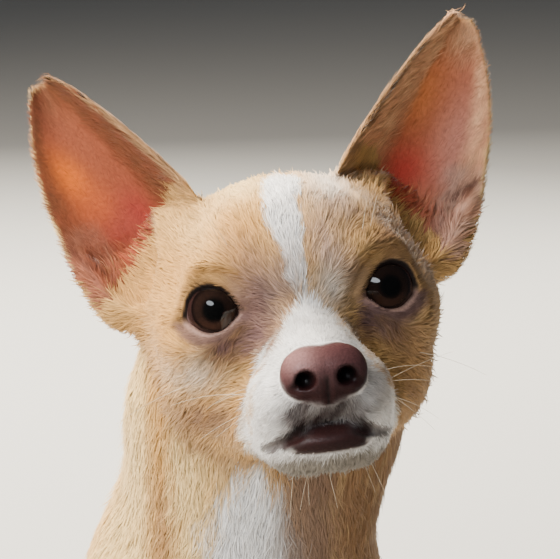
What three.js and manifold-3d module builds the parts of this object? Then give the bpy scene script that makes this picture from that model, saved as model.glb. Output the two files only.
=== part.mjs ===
// A life-size sitting chihuahua, smooth coated, as a museum model.
// Its head is raised, turned and tilted towards a viewer.
// Millimetres, +Z up. The dog faces -Y and its left side is +X. The floor is z = 0.
// The body is one smooth field of rounded forms, drawn as a surface and parted by thin cuts.
import * as THREE from "three";
import { mergeVertices } from "three/addons/utils/BufferGeometryUtils.js";
import Module from "manifold-3d";

const wasm = await Module();
wasm.setup();

// Driving dimensions, measured over the coat.
const GAP = 0.3; // left between two pieces that touch
const EYE_LEVEL = 262; // height of the point midway between the eyes
const HEAD_FORWARD = 78; // how far that point is in front of the shoulder blades
const HEAD_ASIDE = 2; // and how far to the left
const VIEWER = { azimuth: -18, elevation: 12 }; // where the dog looks: to its right and up
const HEAD_POSE = { tilt: 7.6, turn: 5.5, nod: 5 }; // tilt to its right, then off the viewer, in degrees
const EYE = { aside: 22.3, back: 1.2, up: 0.6, radius: 9.4 };
const OPENING = { half_width: 7.5, half_height: 6.7, outward: 19 }; // of the lids, and the way it faces
const LID = 1.5; // thickness of a lid
const SKULL = { half_width: 37, half_length: 35, half_height: 30.5, back: 24, up: 3 };
const NOSE = { half_width: 11.3, middle: -18.5, bottom: -25, tip: -42.5, root: -35.4 };
const EAR = { length: 57, thick: 2.8, cup: 16, wide_in: 25.5, wide_out: 20.5, lobe: 2.4 };
// Each ear's foot on the skull, given as on the left side, and how it spreads, faces out and leans back.
const EAR_POSES = {
  left: { root: [37, 28, 20], splay: 24, outward: 14, lean: 0 },
  right: { root: [40.5, 28, 18], splay: 30, outward: 27, lean: 14 },
};
const FORE = { aside: 31, back: -46 }; // middle of a fore paw
const HIND = { aside: 47, back: 12 }; // middle of a hind paw's toes
const STEP = 5; // how far the left fore paw stands in front of the right one
const TOES = 4;
const TOE_SPREAD = 0.07; // angle from one toe to the next, in radians
const CLAW = { length: 6.2, radius: 1.25 };

const rad = THREE.MathUtils.degToRad;
const clamp = THREE.MathUtils.clamp;
const lerp = THREE.MathUtils.lerp;
const SIDES = { left: 1, right: -1 };

// Fields: functions of a point, negative inside a form and growing outwards at about one a millimetre.

// An ellipsoid, leant about the sideways axis by so many degrees, its top towards the tail.
function blob([cx, cy, cz], [rx, ry, rz], lean = 0) {
  const c = Math.cos(rad(lean)),
    s = Math.sin(rad(lean));
  return (x, y, z) => {
    const u = (x - cx) / rx,
      dy = y - cy,
      dz = z - cz,
      v = (dy * c - dz * s) / ry,
      w = (dy * s + dz * c) / rz;
    const near = Math.sqrt(u * u + v * v + w * w);
    const slope = Math.sqrt((u / rx) ** 2 + (v / ry) ** 2 + (w / rz) ** 2);
    return slope > 1e-9 ? (near * (near - 1)) / slope : -Math.min(rx, ry, rz);
  };
}

// A round rod from a to b, of radius ra at a and rb at b.
function limb([ax, ay, az], [bx, by, bz], ra, rb) {
  const dx = bx - ax,
    dy = by - ay,
    dz = bz - az,
    long = dx * dx + dy * dy + dz * dz;
  return (x, y, z) => {
    const px = x - ax,
      py = y - ay,
      pz = z - az;
    const t = clamp((px * dx + py * dy + pz * dz) / long, 0, 1);
    const qx = px - t * dx,
      qy = py - t * dy,
      qz = pz - t * dz;
    return Math.sqrt(qx * qx + qy * qy + qz * qz) - (ra + (rb - ra) * t);
  };
}

// A chain of rods along points [x, y, z, radius].
const chain = (points, soft) =>
  join(
    soft,
    ...points.slice(1).map((b, i) => limb(points[i], b, points[i][3], b[3])),
  );

// Both sides of the body at once: the form is given for the left side.
const pair = (field) => (x, y, z) => field(Math.abs(x), y, z);

// Joins forms with a fillet about soft wide.
function join(soft, ...fields) {
  return (x, y, z) => {
    let d = fields[0](x, y, z);
    for (let i = 1; i < fields.length; i++) {
      const e = fields[i](x, y, z);
      const h = Math.max(soft - Math.abs(d - e), 0) / soft;
      d = Math.min(d, e) - (h * h * soft) / 4;
    }
    return d;
  };
}

// Cuts forms out of a field, with edges rounded about soft wide.
function carve(soft, field, ...cutters) {
  return (x, y, z) => {
    let d = field(x, y, z);
    for (const cutter of cutters) {
      const e = -cutter(x, y, z);
      const h = Math.max(soft - Math.abs(d - e), 0) / soft;
      d = Math.max(d, e) + (h * h * soft) / 4;
    }
    return d;
  };
}

// The head stands in a frame of its own: origin midway between the eyes, x to its left, -y along its gaze.
const headFrame = new THREE.Matrix4()
  .makeTranslation(HEAD_ASIDE, -HEAD_FORWARD, EYE_LEVEL)
  .multiply(new THREE.Matrix4().makeRotationZ(rad(VIEWER.azimuth)))
  .multiply(new THREE.Matrix4().makeRotationX(rad(-VIEWER.elevation)))
  .multiply(new THREE.Matrix4().makeRotationY(rad(-HEAD_POSE.tilt)))
  .multiply(new THREE.Matrix4().makeRotationZ(rad(HEAD_POSE.turn)))
  .multiply(new THREE.Matrix4().makeRotationX(rad(HEAD_POSE.nod)));
const headInverse = headFrame.clone().invert();

// A field given in the frame of a matrix, read at points of the outer frame, or the other way round.
function through(matrix, field) {
  const m = matrix.elements;
  return (x, y, z) =>
    field(
      m[0] * x + m[4] * y + m[8] * z + m[12],
      m[1] * x + m[5] * y + m[9] * z + m[13],
      m[2] * x + m[6] * y + m[10] * z + m[14],
    );
}
const inHead = (field) => through(headInverse, field);
const seenFromHead = (field) => through(headFrame, field);
const headPoint = (x, y, z) => new THREE.Vector3(x, y, z).applyMatrix4(headFrame).toArray();

// An ear stands in a frame of its own: x across it outwards, y through it backwards, z along it to the tip.
// It is a curved sheet cupped forwards, its depth and outline set along its height.
function earFrame({ root, splay, outward, lean }) {
  const up = new THREE.Vector3(Math.sin(rad(splay)), 0.06, Math.cos(rad(splay))).normalize();
  const across = new THREE.Vector3(Math.cos(rad(splay)), 0, -Math.sin(rad(splay)));
  across.applyAxisAngle(up, rad(outward));
  up.applyAxisAngle(across, -rad(lean));
  return new THREE.Matrix4().makeBasis(across, up.clone().cross(across), up).setPosition(...root);
}
const EAR_FRAMES = { left: earFrame(EAR_POSES.left), right: earFrame(EAR_POSES.right) };

// A field given for one ear, at both ears, each in its own pose.
function atEars(field) {
  const left = through(EAR_FRAMES.left.clone().invert(), field),
    right = through(EAR_FRAMES.right.clone().invert(), field);
  return (x, y, z) => (x > 0 ? left(x, y, z) : right(-x, y, z));
}

function earSheet(across, back, up) {
  const high = up / EAR.length;
  const outer = clamp((up - 5) / (EAR.length - 5), 0, 1),
    inner = clamp((up + 2) / (EAR.length + 2), 0, 1);
  const lobe = EAR.lobe * Math.exp(-(((up - 1) / 8) ** 2));
  const half =
    across > 0 ? EAR.wide_out * (1 - outer ** 2.1) ** 0.8 + lobe : EAR.wide_in * (1 - inner) ** 0.62;
  const width = Math.max(half, 0.5),
    depth = 3 + (EAR.cup - 3) * (1 - clamp(high, 0, 1)) ** 1.2;
  const share = clamp(across / width, -1.1, 1.1);
  const middle = depth * (1 - share * share);
  const slope = (2 * depth * share) / width;
  const thick = EAR.thick * (1 - 0.25 * high);
  const sheet = Math.abs(back - middle) / Math.sqrt(1 + slope * slope) - thick / 2;
  const outline = Math.max(Math.abs(across) - half, up - EAR.length, -15 - up);
  const soft = 1.4,
    h = Math.max(soft - Math.abs(sheet - outline), 0) / soft;
  return Math.max(sheet, outline) + (h * h * soft) / 4;
}

// The head, whole, in its own frame.
const skull = blob(
  [0, SKULL.back, SKULL.up],
  [SKULL.half_width, SKULL.half_length, SKULL.half_height],
);
const forehead = blob([0, 3, 12], [24, 16, 18]);
const brows = pair(blob([20, -3, 8.5], [11, 8, 8]));
const cheekbones = pair(blob([29.5, 12, -7], [10, 19, 12]));
const cheeks = pair(blob([22.5, 19, -20], [12.8, 19, 15.5]));
const jaw = pair(limb([19.5, 15, -28], [8.5, -20, -34.5], 12.5, 8));
const muzzle = limb([0, 2, -13.5], [0, -30, -18], 15.5, 11.5);
const lips = pair(blob([9.4, -21, -24.5], [10.2, 16.5, 11.8]));
const chin = blob([0, -22.5, -35.8], [13, 13, 7.6]);
const nosePad = join(
  2.5,
  pair(blob([5, -37, -16], [6.4, 6, 6.8])),
  blob([0, -37, -19.4], [5.2, 5, 5.8]),
);
const earBases = atEars(join(6, blob([-2, 7, -8], [16, 11, 16]), blob([11, 4, -8], [11, 7, 13])));
const lidBulges = pair(
  blob([EYE.aside, EYE.back, EYE.up], [EYE.radius + LID, EYE.radius + LID, EYE.radius + LID]),
);

// The opening between the lids: a cone about the way the eye looks, wider than high, down to the eyeball.
const gaze = new THREE.Vector3(Math.sin(rad(OPENING.outward)), -Math.cos(rad(OPENING.outward)), 0);
function lidOpening(x, y, z) {
  const px = Math.abs(x) - EYE.aside,
    py = y - EYE.back,
    pz = z - EYE.up;
  const ahead = Math.max(px * gaze.x + py * gaze.y, 0.1);
  const aside = px * -gaze.y + py * gaze.x;
  const grow = EYE.radius / ahead / 1.2;
  const u = (aside * grow) / OPENING.half_width,
    v = (pz * grow) / OPENING.half_height;
  const cone = (Math.sqrt(u * u + v * v) - 1) * OPENING.half_height;
  const deep = EYE.radius - 0.5 - Math.sqrt(px * px + py * py + pz * pz);
  return Math.max(cone, deep, -py - 30);
}

const nostrils = pair(
  join(
    1,
    blob([5.4, -43.2, -17], [2.6, 4.6, 2.5]),
    limb([6.5, -42.5, -18], [10, -40.5, -19.6], 1.1, 0.7),
  ),
);
const philtrum = limb([0, NOSE.tip - 0.6, -18], [0, -40, -28.5], 0.9, 0.8);
const mouthLine = pair(
  chain(
    [
      [0, -40.6, -29, 1],
      [6.5, -38.4, -30.6, 1.1],
      [13, -32, -34, 1.1],
      [19, -22, -36.6, 0.9],
    ],
    0.5,
  ),
);
const lowerLip = blob([0, -29.5, -34], [13, 9.2, 4.6]);
const earHollows = atEars(blob([4, -2, 6], [12, 13, 21]));
const pockets = atEars(blob([18.5, 2, -4], [4.5, 4, 13]));
const ears = join(2, atEars(earSheet), pockets);

const face = join(
  6.5,
  join(10, skull, forehead, cheekbones, cheeks, jaw, earBases),
  join(4, muzzle, lips, chin),
  brows,
);
const faceAndNose = join(1.2, join(2, face, lidBulges, lowerLip), nosePad);
const headForm = join(
  3,
  carve(0.8, carve(2, faceAndNose, earHollows), lidOpening, nostrils, philtrum, mouthLine),
  ears,
);

// Neck and trunk of a sitting dog.
const neckTop = headPoint(0, 36, -14);
const ruff = blob([4, -40, 223], [38.5, 32, 36]);
const throat = blob([0, -44, 186], [30, 23, 34]);
const neck = join(14, limb(neckTop, [0, -20, 170], 33, 39), ruff, throat);
const backLine = limb([0, -8, 158], [0, 70, 62], 30, 38);
const ribs = blob([0, -4, 130], [43, 46, 62], -38);
const shoulders = pair(blob([26, -22, 148], [19, 26, 34], -20));
const breast = blob([0, -46, 138], [27, 20, 30]);
const belly = blob([0, 30, 88], [38, 44, 42]);
const rump = blob([0, 66, 42], [42, 42, 43.5]);
const trunk = join(16, ribs, backLine, breast, belly, rump, shoulders);

// The legs of one side.
function foreLeg(side) {
  const ahead = side > 0 ? -STEP : 0;
  const x = side * FORE.aside,
    y = FORE.back + ahead;
  const upperArm = limb([side * 29, -40, 128], [side * 36, -14, 98], 19, 14);
  const foreArm = limb([side * 36, -16, 98], [x, y + 10, 34], 13, 8.2);
  const wrist = limb([x, y + 10, 34], [x, y + 4, 14], 8.2, 8.4);
  return join(3, join(8, upperArm, foreArm, wrist), pawForm([x, y]));
}

// A toe of the paw whose middle is at [x, y], from its root to its tip. The middle toes reach furthest.
function toeLine([x, y], toe) {
  const off = toe - (TOES - 1) / 2;
  const shorter = Math.abs(off) < 1 ? 0 : 3.2;
  const root = [x + off * 4.6, y + 2, 9.2];
  const tip = [x + off * 6.1 + Math.sin(off * TOE_SPREAD) * 6, y - 11.5 + shorter, 6.2];
  return { root, tip };
}
function pawForm(at) {
  const toes = [...Array(TOES).keys()].map((toe) => {
    const { root, tip } = toeLine(at, toe);
    return limb(root, tip, 5.2, 4.9);
  });
  const pad = blob([at[0], at[1] + 2, 5.5], [9.5, 10, 7.5]);
  return join(1.6, pad, ...toes);
}

function hindLeg(side) {
  const thigh = blob([side * 38, 50, 54], [20, 40, 40], 30);
  const knee = limb([side * 36, 52, 66], [side * 46, 14, 60], 26, 17);
  const shank = limb([side * 47, 18, 56], [side * 45, 76, 19], 15, 8.5);
  return join(10, thigh, knee, shank);
}
function hindFoot(side) {
  const x = side * HIND.aside;
  const heel = [side * 45, 82, 12];
  const instep = limb(heel, [x, HIND.back + 8, 9], 8, 8.2);
  return join(3, instep, pawForm([x, HIND.back]));
}

// The tail lies on the floor and bends round to the left.
const tailLine = new THREE.CatmullRomCurve3([
  new THREE.Vector3(0, 92, 20),
  new THREE.Vector3(4, 116, 11),
  new THREE.Vector3(22, 133, 8.6),
  new THREE.Vector3(50, 136, 7.4),
  new THREE.Vector3(78, 122, 6),
]);
const TAIL_STEPS = 12;
const tail = chain(
  tailLine.getPoints(TAIL_STEPS).map((p, i) => [...p.toArray(), lerp(9.5, 4.8, i / TAIL_STEPS)]),
  2,
);

const legs = Object.values(SIDES).flatMap((side) => [foreLeg(side), hindLeg(side)]);
const feet = Object.values(SIDES).map(hindFoot);
const bodyForm = join(5, join(12, join(14, trunk, neck), legs[0], legs[1], legs[2], legs[3]), tail);
const dog = join(2.5, join(10, bodyForm, inHead(headForm)), ...feet);
const dogFromHead = seenFromHead(dog);

// Draws the surface of a field inside a box as a closed mesh of about so many triangles.
function surface(field, low, high, cell, wanted) {
  const wall = cell * 1.5;
  const boxed = (x, y, z) =>
    Math.max(
      field(x, y, z),
      low[0] + wall - x,
      x - high[0] + wall,
      low[1] + wall - y,
      y - high[1] + wall,
      low[2] + wall - z,
      z - high[2] + wall,
    );
  return thin(net(boxed, low, high, cell), wanted);
}

// A dual net: one vertex for each patch of surface in a grid cell, one quad across each grid edge that the
// surface crosses. Corners of a cell are numbered 0 to 7 by their bits, its edges by axis and then by where
// they stand across the other two.
const edgeNumber = (axis, u, v) => axis * 4 + u * 2 + v;
const CELL_EDGES = [0, 1, 2].flatMap((axis) =>
  [0, 1, 2, 3].map((place) => {
    const base = ((place >> 1) << (axis + 1) % 3) | ((place & 1) << (axis + 2) % 3);
    return { axis, from: base, to: base | (1 << axis) };
  }),
);
const CELL_SIDES = [0, 1, 2].flatMap((axis) =>
  [0, 1].map((height) => {
    const u = 1 << (axis + 1) % 3,
      v = 1 << (axis + 2) % 3,
      base = height << axis;
    const corners = [base, base | u, base | u | v, base | v];
    const edges = corners.map((corner, i) => {
      const ends = [corner, corners[(i + 1) % 4]];
      return CELL_EDGES.findIndex((e) => ends.includes(e.from) && ends.includes(e.to));
    });
    return { corners, edges };
  }),
);

// The patch each crossed edge of a cell belongs to.
// Where a side is crossed four times, inside corners stay apart.
function patchesOf(inside) {
  const owner = CELL_EDGES.map((e, i) => (inside[e.from] !== inside[e.to] ? i : -1));
  const unite = (a, b) => {
    const from = owner[a],
      to = owner[b];
    owner.forEach((o, i) => o === from && (owner[i] = to));
  };
  for (const { corners, edges } of CELL_SIDES) {
    const crossed = edges.filter((e) => owner[e] >= 0);
    if (crossed.length === 2) unite(...crossed);
    if (crossed.length < 4) continue;
    corners.forEach((c, i) => inside[c] && unite(edges[(i + 3) % 4], edges[i]));
  }
  return owner;
}

function net(field, low, high, cell) {
  const [nx, ny, nz] = low.map((l, i) => Math.ceil((high[i] - l) / cell) + 1);
  const value = new Float32Array(nx * ny * nz);
  const at = (i, j, k) => i + nx * (j + ny * k);
  const read = (i, j, k) => field(low[0] + i * cell, low[1] + j * cell, low[2] + k * cell);
  const block = 5,
    far = block * cell * 1.8;
  for (let k0 = 0; k0 < nz; k0 += block)
    for (let j0 = 0; j0 < ny; j0 += block)
      for (let i0 = 0; i0 < nx; i0 += block) {
        const centre = read(i0 + block / 2, j0 + block / 2, k0 + block / 2);
        const near = Math.abs(centre) < far;
        for (let k = k0; k < Math.min(k0 + block, nz); k++)
          for (let j = j0; j < Math.min(j0 + block, ny); j++)
            for (let i = i0; i < Math.min(i0 + block, nx); i++)
              value[at(i, j, k)] = near ? read(i, j, k) : centre;
      }
  const steps = [1, nx, nx * ny];
  const corner = [...Array(8).keys()].map((c) => at(c & 1, (c >> 1) & 1, (c >> 2) & 1));
  const vertexOf = new Map();
  const points = [];
  for (let k = 0; k < nz - 1; k++)
    for (let j = 0; j < ny - 1; j++)
      for (let i = 0; i < nx - 1; i++) {
        const first = at(i, j, k);
        let count = 0;
        for (let c = 0; c < 8; c++) if (value[first + corner[c]] < 0) count++;
        if (count === 0 || count === 8) continue;
        const values = corner.map((c) => value[first + c]);
        const owner = patchesOf(values.map((v) => v < 0));
        const made = owner.slice();
        for (const patch of new Set(owner.filter((o) => o >= 0))) {
          const edges = CELL_EDGES.filter((e, n) => owner[n] === patch);
          const sum = [0, 0, 0];
          for (const { axis, from, to } of edges) {
            const t = values[from] / (values[from] - values[to]);
            for (let n = 0; n < 3; n++) sum[n] += ((from >> n) & 1) + (n === axis ? t : 0);
          }
          const p = [i, j, k].map((v, n) => low[n] + (v + sum[n] / edges.length) * cell);
          owner.forEach((o, n) => o === patch && (made[n] = points.length));
          points.push(settle(field, p, cell));
        }
        vertexOf.set(first, made);
      }
  const triangles = [];
  for (let k = 1; k < nz - 1; k++)
    for (let j = 1; j < ny - 1; j++)
      for (let i = 1; i < nx - 1; i++) {
        const here = at(i, j, k);
        const inside = value[here] < 0;
        for (let axis = 0; axis < 3; axis++) {
          if (inside === value[here + steps[axis]] < 0) continue;
          const u = steps[(axis + 1) % 3],
            v = steps[(axis + 2) % 3];
          const quad = [
            vertexOf.get(here - u - v)[edgeNumber(axis, 1, 1)],
            vertexOf.get(here - v)[edgeNumber(axis, 0, 1)],
            vertexOf.get(here)[edgeNumber(axis, 0, 0)],
            vertexOf.get(here - u)[edgeNumber(axis, 1, 0)],
          ];
          if (!inside) quad.reverse();
          const [a, b, c, d] = quad;
          const even = apart(points[a], points[c]) <= apart(points[b], points[d]);
          triangles.push(...(even ? [a, b, c, a, c, d] : [a, b, d, b, c, d]));
        }
      }
  return { points, triangles };
}
const apart = (a, b) => (a[0] - b[0]) ** 2 + (a[1] - b[1]) ** 2 + (a[2] - b[2]) ** 2;

// Moves a vertex along the field's slope onto the surface, by at most half a cell.
function settle(field, p, cell) {
  const e = cell * 0.05;
  const f = field(...p);
  const slope = [0, 1, 2].map((n) => {
    const q = [...p];
    q[n] += e;
    return (field(...q) - f) / e;
  });
  const steep = slope[0] ** 2 + slope[1] ** 2 + slope[2] ** 2;
  const reach = cell / 2;
  return p.map((v, n) => v - clamp((f * slope[n]) / Math.max(steep, 0.2), -reach, reach));
}

// Thins a closed mesh by collapsing the edges whose loss moves the surface least.
function thin({ points, triangles }, wanted) {
  const faces = [];
  for (let i = 0; i < triangles.length; i += 3) faces.push(triangles.slice(i, i + 3));
  const around = points.map(() => new Set());
  faces.forEach((f, i) => f.forEach((v) => around[v].add(i)));
  const quadric = points.map(() => new Float64Array(10));
  for (const f of faces) {
    const n = normalOf(f.map((v) => points[v]));
    const size = Math.hypot(...n) || 1;
    const [a, b, c] = n.map((v) => v / size);
    const d = -(a * points[f[0]][0] + b * points[f[0]][1] + c * points[f[0]][2]);
    const plane = [a * a, a * b, a * c, a * d, b * b, b * c, b * d, c * c, c * d, d * d];
    f.forEach((v) => plane.forEach((q, i) => (quadric[v][i] += q * size)));
  }
  const version = new Int32Array(points.length);
  const heap = [];
  const push = (item) => {
    let i = heap.push(item) - 1;
    while (i && heap[(i - 1) >> 1].cost > item.cost) {
      heap[i] = heap[(i - 1) >> 1];
      i = (i - 1) >> 1;
    }
    heap[i] = item;
  };
  const pop = () => {
    const top = heap[0],
      last = heap.pop();
    if (!heap.length) return top;
    let i = 0;
    for (;;) {
      let child = 2 * i + 1;
      if (child >= heap.length) break;
      if (child + 1 < heap.length && heap[child + 1].cost < heap[child].cost) child++;
      if (heap[child].cost >= last.cost) break;
      heap[i] = heap[child];
      i = child;
    }
    heap[i] = last;
    return top;
  };
  const neighbours = (v) => {
    const found = new Set();
    for (const f of around[v]) faces[f].forEach((w) => found.add(w));
    found.delete(v);
    return found;
  };
  const consider = (a, b) => {
    const q = quadric[a].map((v, i) => v + quadric[b][i]);
    const at = best(q, points[a], points[b]);
    const even = apart(points[a], points[b]) * 2e-4 * apart(points[a], points[b]);
    push({ cost: Math.max(quadricError(q, at), 0) + even, a, b, at, stamp: version[a] + version[b] });
  };
  const flips = (v, other, at) => {
    for (const i of around[v]) {
      const f = faces[i];
      if (f.includes(other)) continue;
      const before = normalOf(f.map((w) => points[w]));
      const after = normalOf(f.map((w) => (w === v ? at : points[w])));
      const size = Math.hypot(...after);
      const dot = before[0] * after[0] + before[1] * after[1] + before[2] * after[2];
      const long = Math.max(...f.map((w) => (w === v ? 0 : apart(at, points[w]))));
      if (dot < 0.35 * size * Math.hypot(...before) || size < 0.08 * long) return true;
    }
    return false;
  };
  for (let v = 0; v < points.length; v++) for (const w of neighbours(v)) if (v < w) consider(v, w);
  let left = faces.length;
  while (left > wanted && heap.length) {
    const { a, b, at, stamp } = pop();
    if (!around[a] || !around[b] || stamp !== version[a] + version[b]) continue;
    const near = neighbours(a);
    if (!near.has(b)) continue;
    const shared = [...neighbours(b)].filter((v) => near.has(v));
    if (shared.length !== 2 || flips(a, b, at) || flips(b, a, at)) continue;
    points[a] = at;
    quadric[a].forEach((v, i) => (quadric[a][i] = v + quadric[b][i]));
    for (const i of around[b]) {
      if (faces[i].includes(a)) {
        faces[i].forEach((v) => v !== b && around[v].delete(i));
        faces[i] = null;
        left--;
      } else {
        faces[i] = faces[i].map((v) => (v === b ? a : v));
        around[a].add(i);
      }
    }
    around[b] = null;
    version[a]++;
    for (const w of neighbours(a)) consider(Math.min(a, w), Math.max(a, w));
  }
  const index = new Map();
  const kept = [];
  const out = faces.filter(Boolean).flatMap((f) =>
    f.map((v) => {
      if (!index.has(v)) index.set(v, kept.push(points[v]) - 1);
      return index.get(v);
    }),
  );
  return { points: kept, triangles: out };
}
function normalOf([a, b, c]) {
  const u = [b[0] - a[0], b[1] - a[1], b[2] - a[2]],
    v = [c[0] - a[0], c[1] - a[1], c[2] - a[2]];
  return [u[1] * v[2] - u[2] * v[1], u[2] * v[0] - u[0] * v[2], u[0] * v[1] - u[1] * v[0]];
}
const quadricError = (q, [x, y, z]) =>
  q[0] * x * x +
  2 * q[1] * x * y +
  2 * q[2] * x * z +
  2 * q[3] * x +
  q[4] * y * y +
  2 * q[5] * y * z +
  2 * q[6] * y +
  q[7] * z * z +
  2 * q[8] * z +
  q[9];

// The point that loses least, or the middle of the edge where the quadric has no clear lowest point.
function best(q, a, b) {
  const middle = a.map((v, i) => (v + b[i]) / 2);
  const m = new THREE.Matrix3().set(q[0], q[1], q[2], q[1], q[4], q[5], q[2], q[5], q[7]);
  const scale = (q[0] + q[4] + q[7]) / 3;
  if (Math.abs(m.determinant()) < 1e-3 * scale ** 3) return middle;
  const p = new THREE.Vector3(-q[3], -q[6], -q[8]).applyMatrix3(m.invert()).toArray();
  return apart(p, middle) < apart(a, b) * 2 ? p : middle;
}

// Solids and cuts.
function solidOf({ points, triangles }) {
  return new wasm.Manifold(
    new wasm.Mesh({
      numProp: 3,
      vertProperties: new Float32Array(points.flat()),
      triVerts: new Uint32Array(triangles),
    }),
  );
}
function solidOfGeometry(geometry) {
  const plain = geometry.clone();
  plain.deleteAttribute("normal");
  plain.deleteAttribute("uv");
  const merged = mergeVertices(plain, 1e-4);
  return new wasm.Manifold(
    new wasm.Mesh({
      numProp: 3,
      vertProperties: merged.attributes.position.array,
      triVerts: new Uint32Array(merged.index.array),
    }),
  );
}
function geometryOf(solid) {
  const mesh = solid.getMesh();
  const geometry = new THREE.BufferGeometry();
  geometry.setAttribute("position", new THREE.BufferAttribute(new Float32Array(mesh.vertProperties), 3));
  geometry.setIndex(new THREE.BufferAttribute(new Uint32Array(mesh.triVerts), 1));
  return geometry;
}

// A thick slab that fills all on one side of a plane, beyond the point at, along normal. shift moves it on.
function beyond(at, normal, shift = 0) {
  const size = 600;
  const n = new THREE.Vector3(...normal).normalize();
  const turn = new THREE.Quaternion().setFromUnitVectors(new THREE.Vector3(0, 0, 1), n);
  const centre = new THREE.Vector3(...at).addScaledVector(n, size / 2 + shift);
  const matrix = new THREE.Matrix4().compose(centre, turn, new THREE.Vector3(1, 1, 1));
  return solidOfGeometry(new THREE.BoxGeometry(size, size, size).applyMatrix4(matrix));
}

const largest = (solid) =>
  solid.decompose().reduce((a, b) => (a.volume() >= b.volume() ? a : b));

// A cut is a plane: the piece behind it and the piece ahead of it each end half the gap away.
const behind = (solid, cut) => solid.subtract(beyond(cut.at, cut.normal, -GAP / 2));
const ahead = (solid, cut) => solid.intersect(beyond(cut.at, cut.normal, GAP / 2));

// A region is all that lies ahead of several planes.
const within = (solid, region) => region.reduce(ahead, solid);
function without(solid, region) {
  const slabs = region.map((cut) => beyond(cut.at, cut.normal, -GAP / 2));
  return solid.subtract(slabs.reduce((a, b) => a.intersect(b)));
}

const floor = beyond([0, 0, 0], [0, 0, -1]);

const vectorInHead = (x, y, z) => new THREE.Vector3(x, y, z).transformDirection(headFrame).toArray();
const plane = (at, normal) => ({ at, normal });
const CUTS = {
  nape: plane(headPoint(0, 30, -22), vectorInHead(0, 0.72, -0.7)),
  collar: plane([0, -26, 170], [0, -0.42, 0.9]),
  ear: (name) => {
    const foot = new THREE.Vector3(0, 0, 3).applyMatrix4(EAR_FRAMES[name]);
    const up = new THREE.Vector3(0, 0, 1).transformDirection(EAR_FRAMES[name]);
    const side = SIDES[name];
    return plane([side * foot.x, foot.y, foot.z], [side * up.x, up.y, up.z]);
  },
};
const inward = (side) => plane([side * 13, 0, 0], [side, 0, 0]);
const REGIONS = {
  foreleg: (side) => [
    plane([side * 36, -20, 98], [side * 0.2, -0.12, -0.97]),
    inward(side),
    plane([0, -9, 64], [0, -0.9, 0.42]),
  ],
  forepaw: (side) => [plane([0, -40, 24], [0, 0, -1]), inward(side), plane([0, -20, 0], [0, -1, 0])],
  thigh: (side) => [
    plane([side * 31, 50, 60], [side * 0.95, -0.15, -0.26]),
    plane([0, -15, 0], [0, 1, 0]),
    plane([0, 10, 94], [0, 0.3, -0.95]),
  ],
  hindfoot: (side) => [
    plane([0, 82, 23], [0, -0.1, -1]),
    plane([side * 34, 0, 0], [side, 0, 0]),
    plane([0, -20, 0], [0, 1, 0]),
  ],
  tail: [plane([3, 106, 14], [0.15, 1, -0.1]), plane([0, 0, 27], [0, 0, -1])],
  tailTip: plane([36, 136, 8], [1, 0.12, 0]),
};

// Materials, one for each kind of surface.
const material = (color, roughness) =>
  new THREE.MeshStandardMaterial({ color, roughness, metalness: 0 });
const FAWN = material(0xc9a680, 0.85);
const EAR_SKIN = material(0xb98468, 0.8);
const NOSE_SKIN = material(0x8a5a58, 0.45);
const EYE_DARK = material(0x24140e, 0.08);
const HORN = material(0x5b4a40, 0.4);

const model = new THREE.Group();
const head = new THREE.Group();
head.applyMatrix4(headFrame);
model.add(head);

function place(group, name, solid, skin) {
  const mesh = new THREE.Mesh(geometryOf(largest(solid).simplify(0.02)), skin.clone());
  mesh.name = name;
  group.add(mesh);
  return mesh;
}

const inHeadFrame = (cut) => ({
  at: new THREE.Vector3(...cut.at).applyMatrix4(headInverse).toArray(),
  normal: new THREE.Vector3(...cut.normal).transformDirection(headInverse).toArray(),
});

// The nose pad, in the head's frame: ahead of the muzzle and narrowing downwards.
const noseSide = (side) => plane([side * NOSE.half_width, 0, NOSE.middle], [side * -0.63, 0, 0.78]);
const NOSE_REGION = [
  plane([0, NOSE.root, 0], [0, -1, 0]),
  plane([0, 0, NOSE.bottom], [0, 0, 1]),
  noseSide(SIDES.left),
  noseSide(SIDES.right),
];

// Head, nose, eyes and ears, in the head's frame.
function makeHead() {
  const balls = Object.values(SIDES).map((side) => (radius) => {
    const ball = new THREE.IcosahedronGeometry(radius, 3);
    return solidOfGeometry(ball.translate(side * EYE.aside, EYE.back, EYE.up));
  });
  let whole = solidOf(surface(dogFromHead, [-68, -50, -52], [68, 68, 48], 1.5, 5600));
  for (const name of Object.keys(SIDES)) whole = behind(whole, CUTS.ear(name));
  whole = without(behind(whole, inHeadFrame(CUTS.nape)), NOSE_REGION);
  whole = whole.subtract(balls[0](EYE.radius + GAP)).subtract(balls[1](EYE.radius + GAP));
  place(head, "head", whole, FAWN);
  const tip = solidOf(surface(dogFromHead, [-18, -47, -30], [18, -31, -4], 0.9, 900));
  place(head, "nose", within(tip, NOSE_REGION), NOSE_SKIN);
  Object.entries(SIDES).forEach(([name, side], i) => {
    place(head, "eye_" + name, balls[i](EYE.radius), EYE_DARK);
    const near = [side > 0 ? 8 : -84, 8, -2],
      far = [side > 0 ? 84 : -8, 66, 84];
    const sheet = solidOf(surface(dogFromHead, near, far, 1.2, 1500));
    place(head, "ear_" + name, ahead(sheet, CUTS.ear(name)), EAR_SKIN);
  });
}

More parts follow.
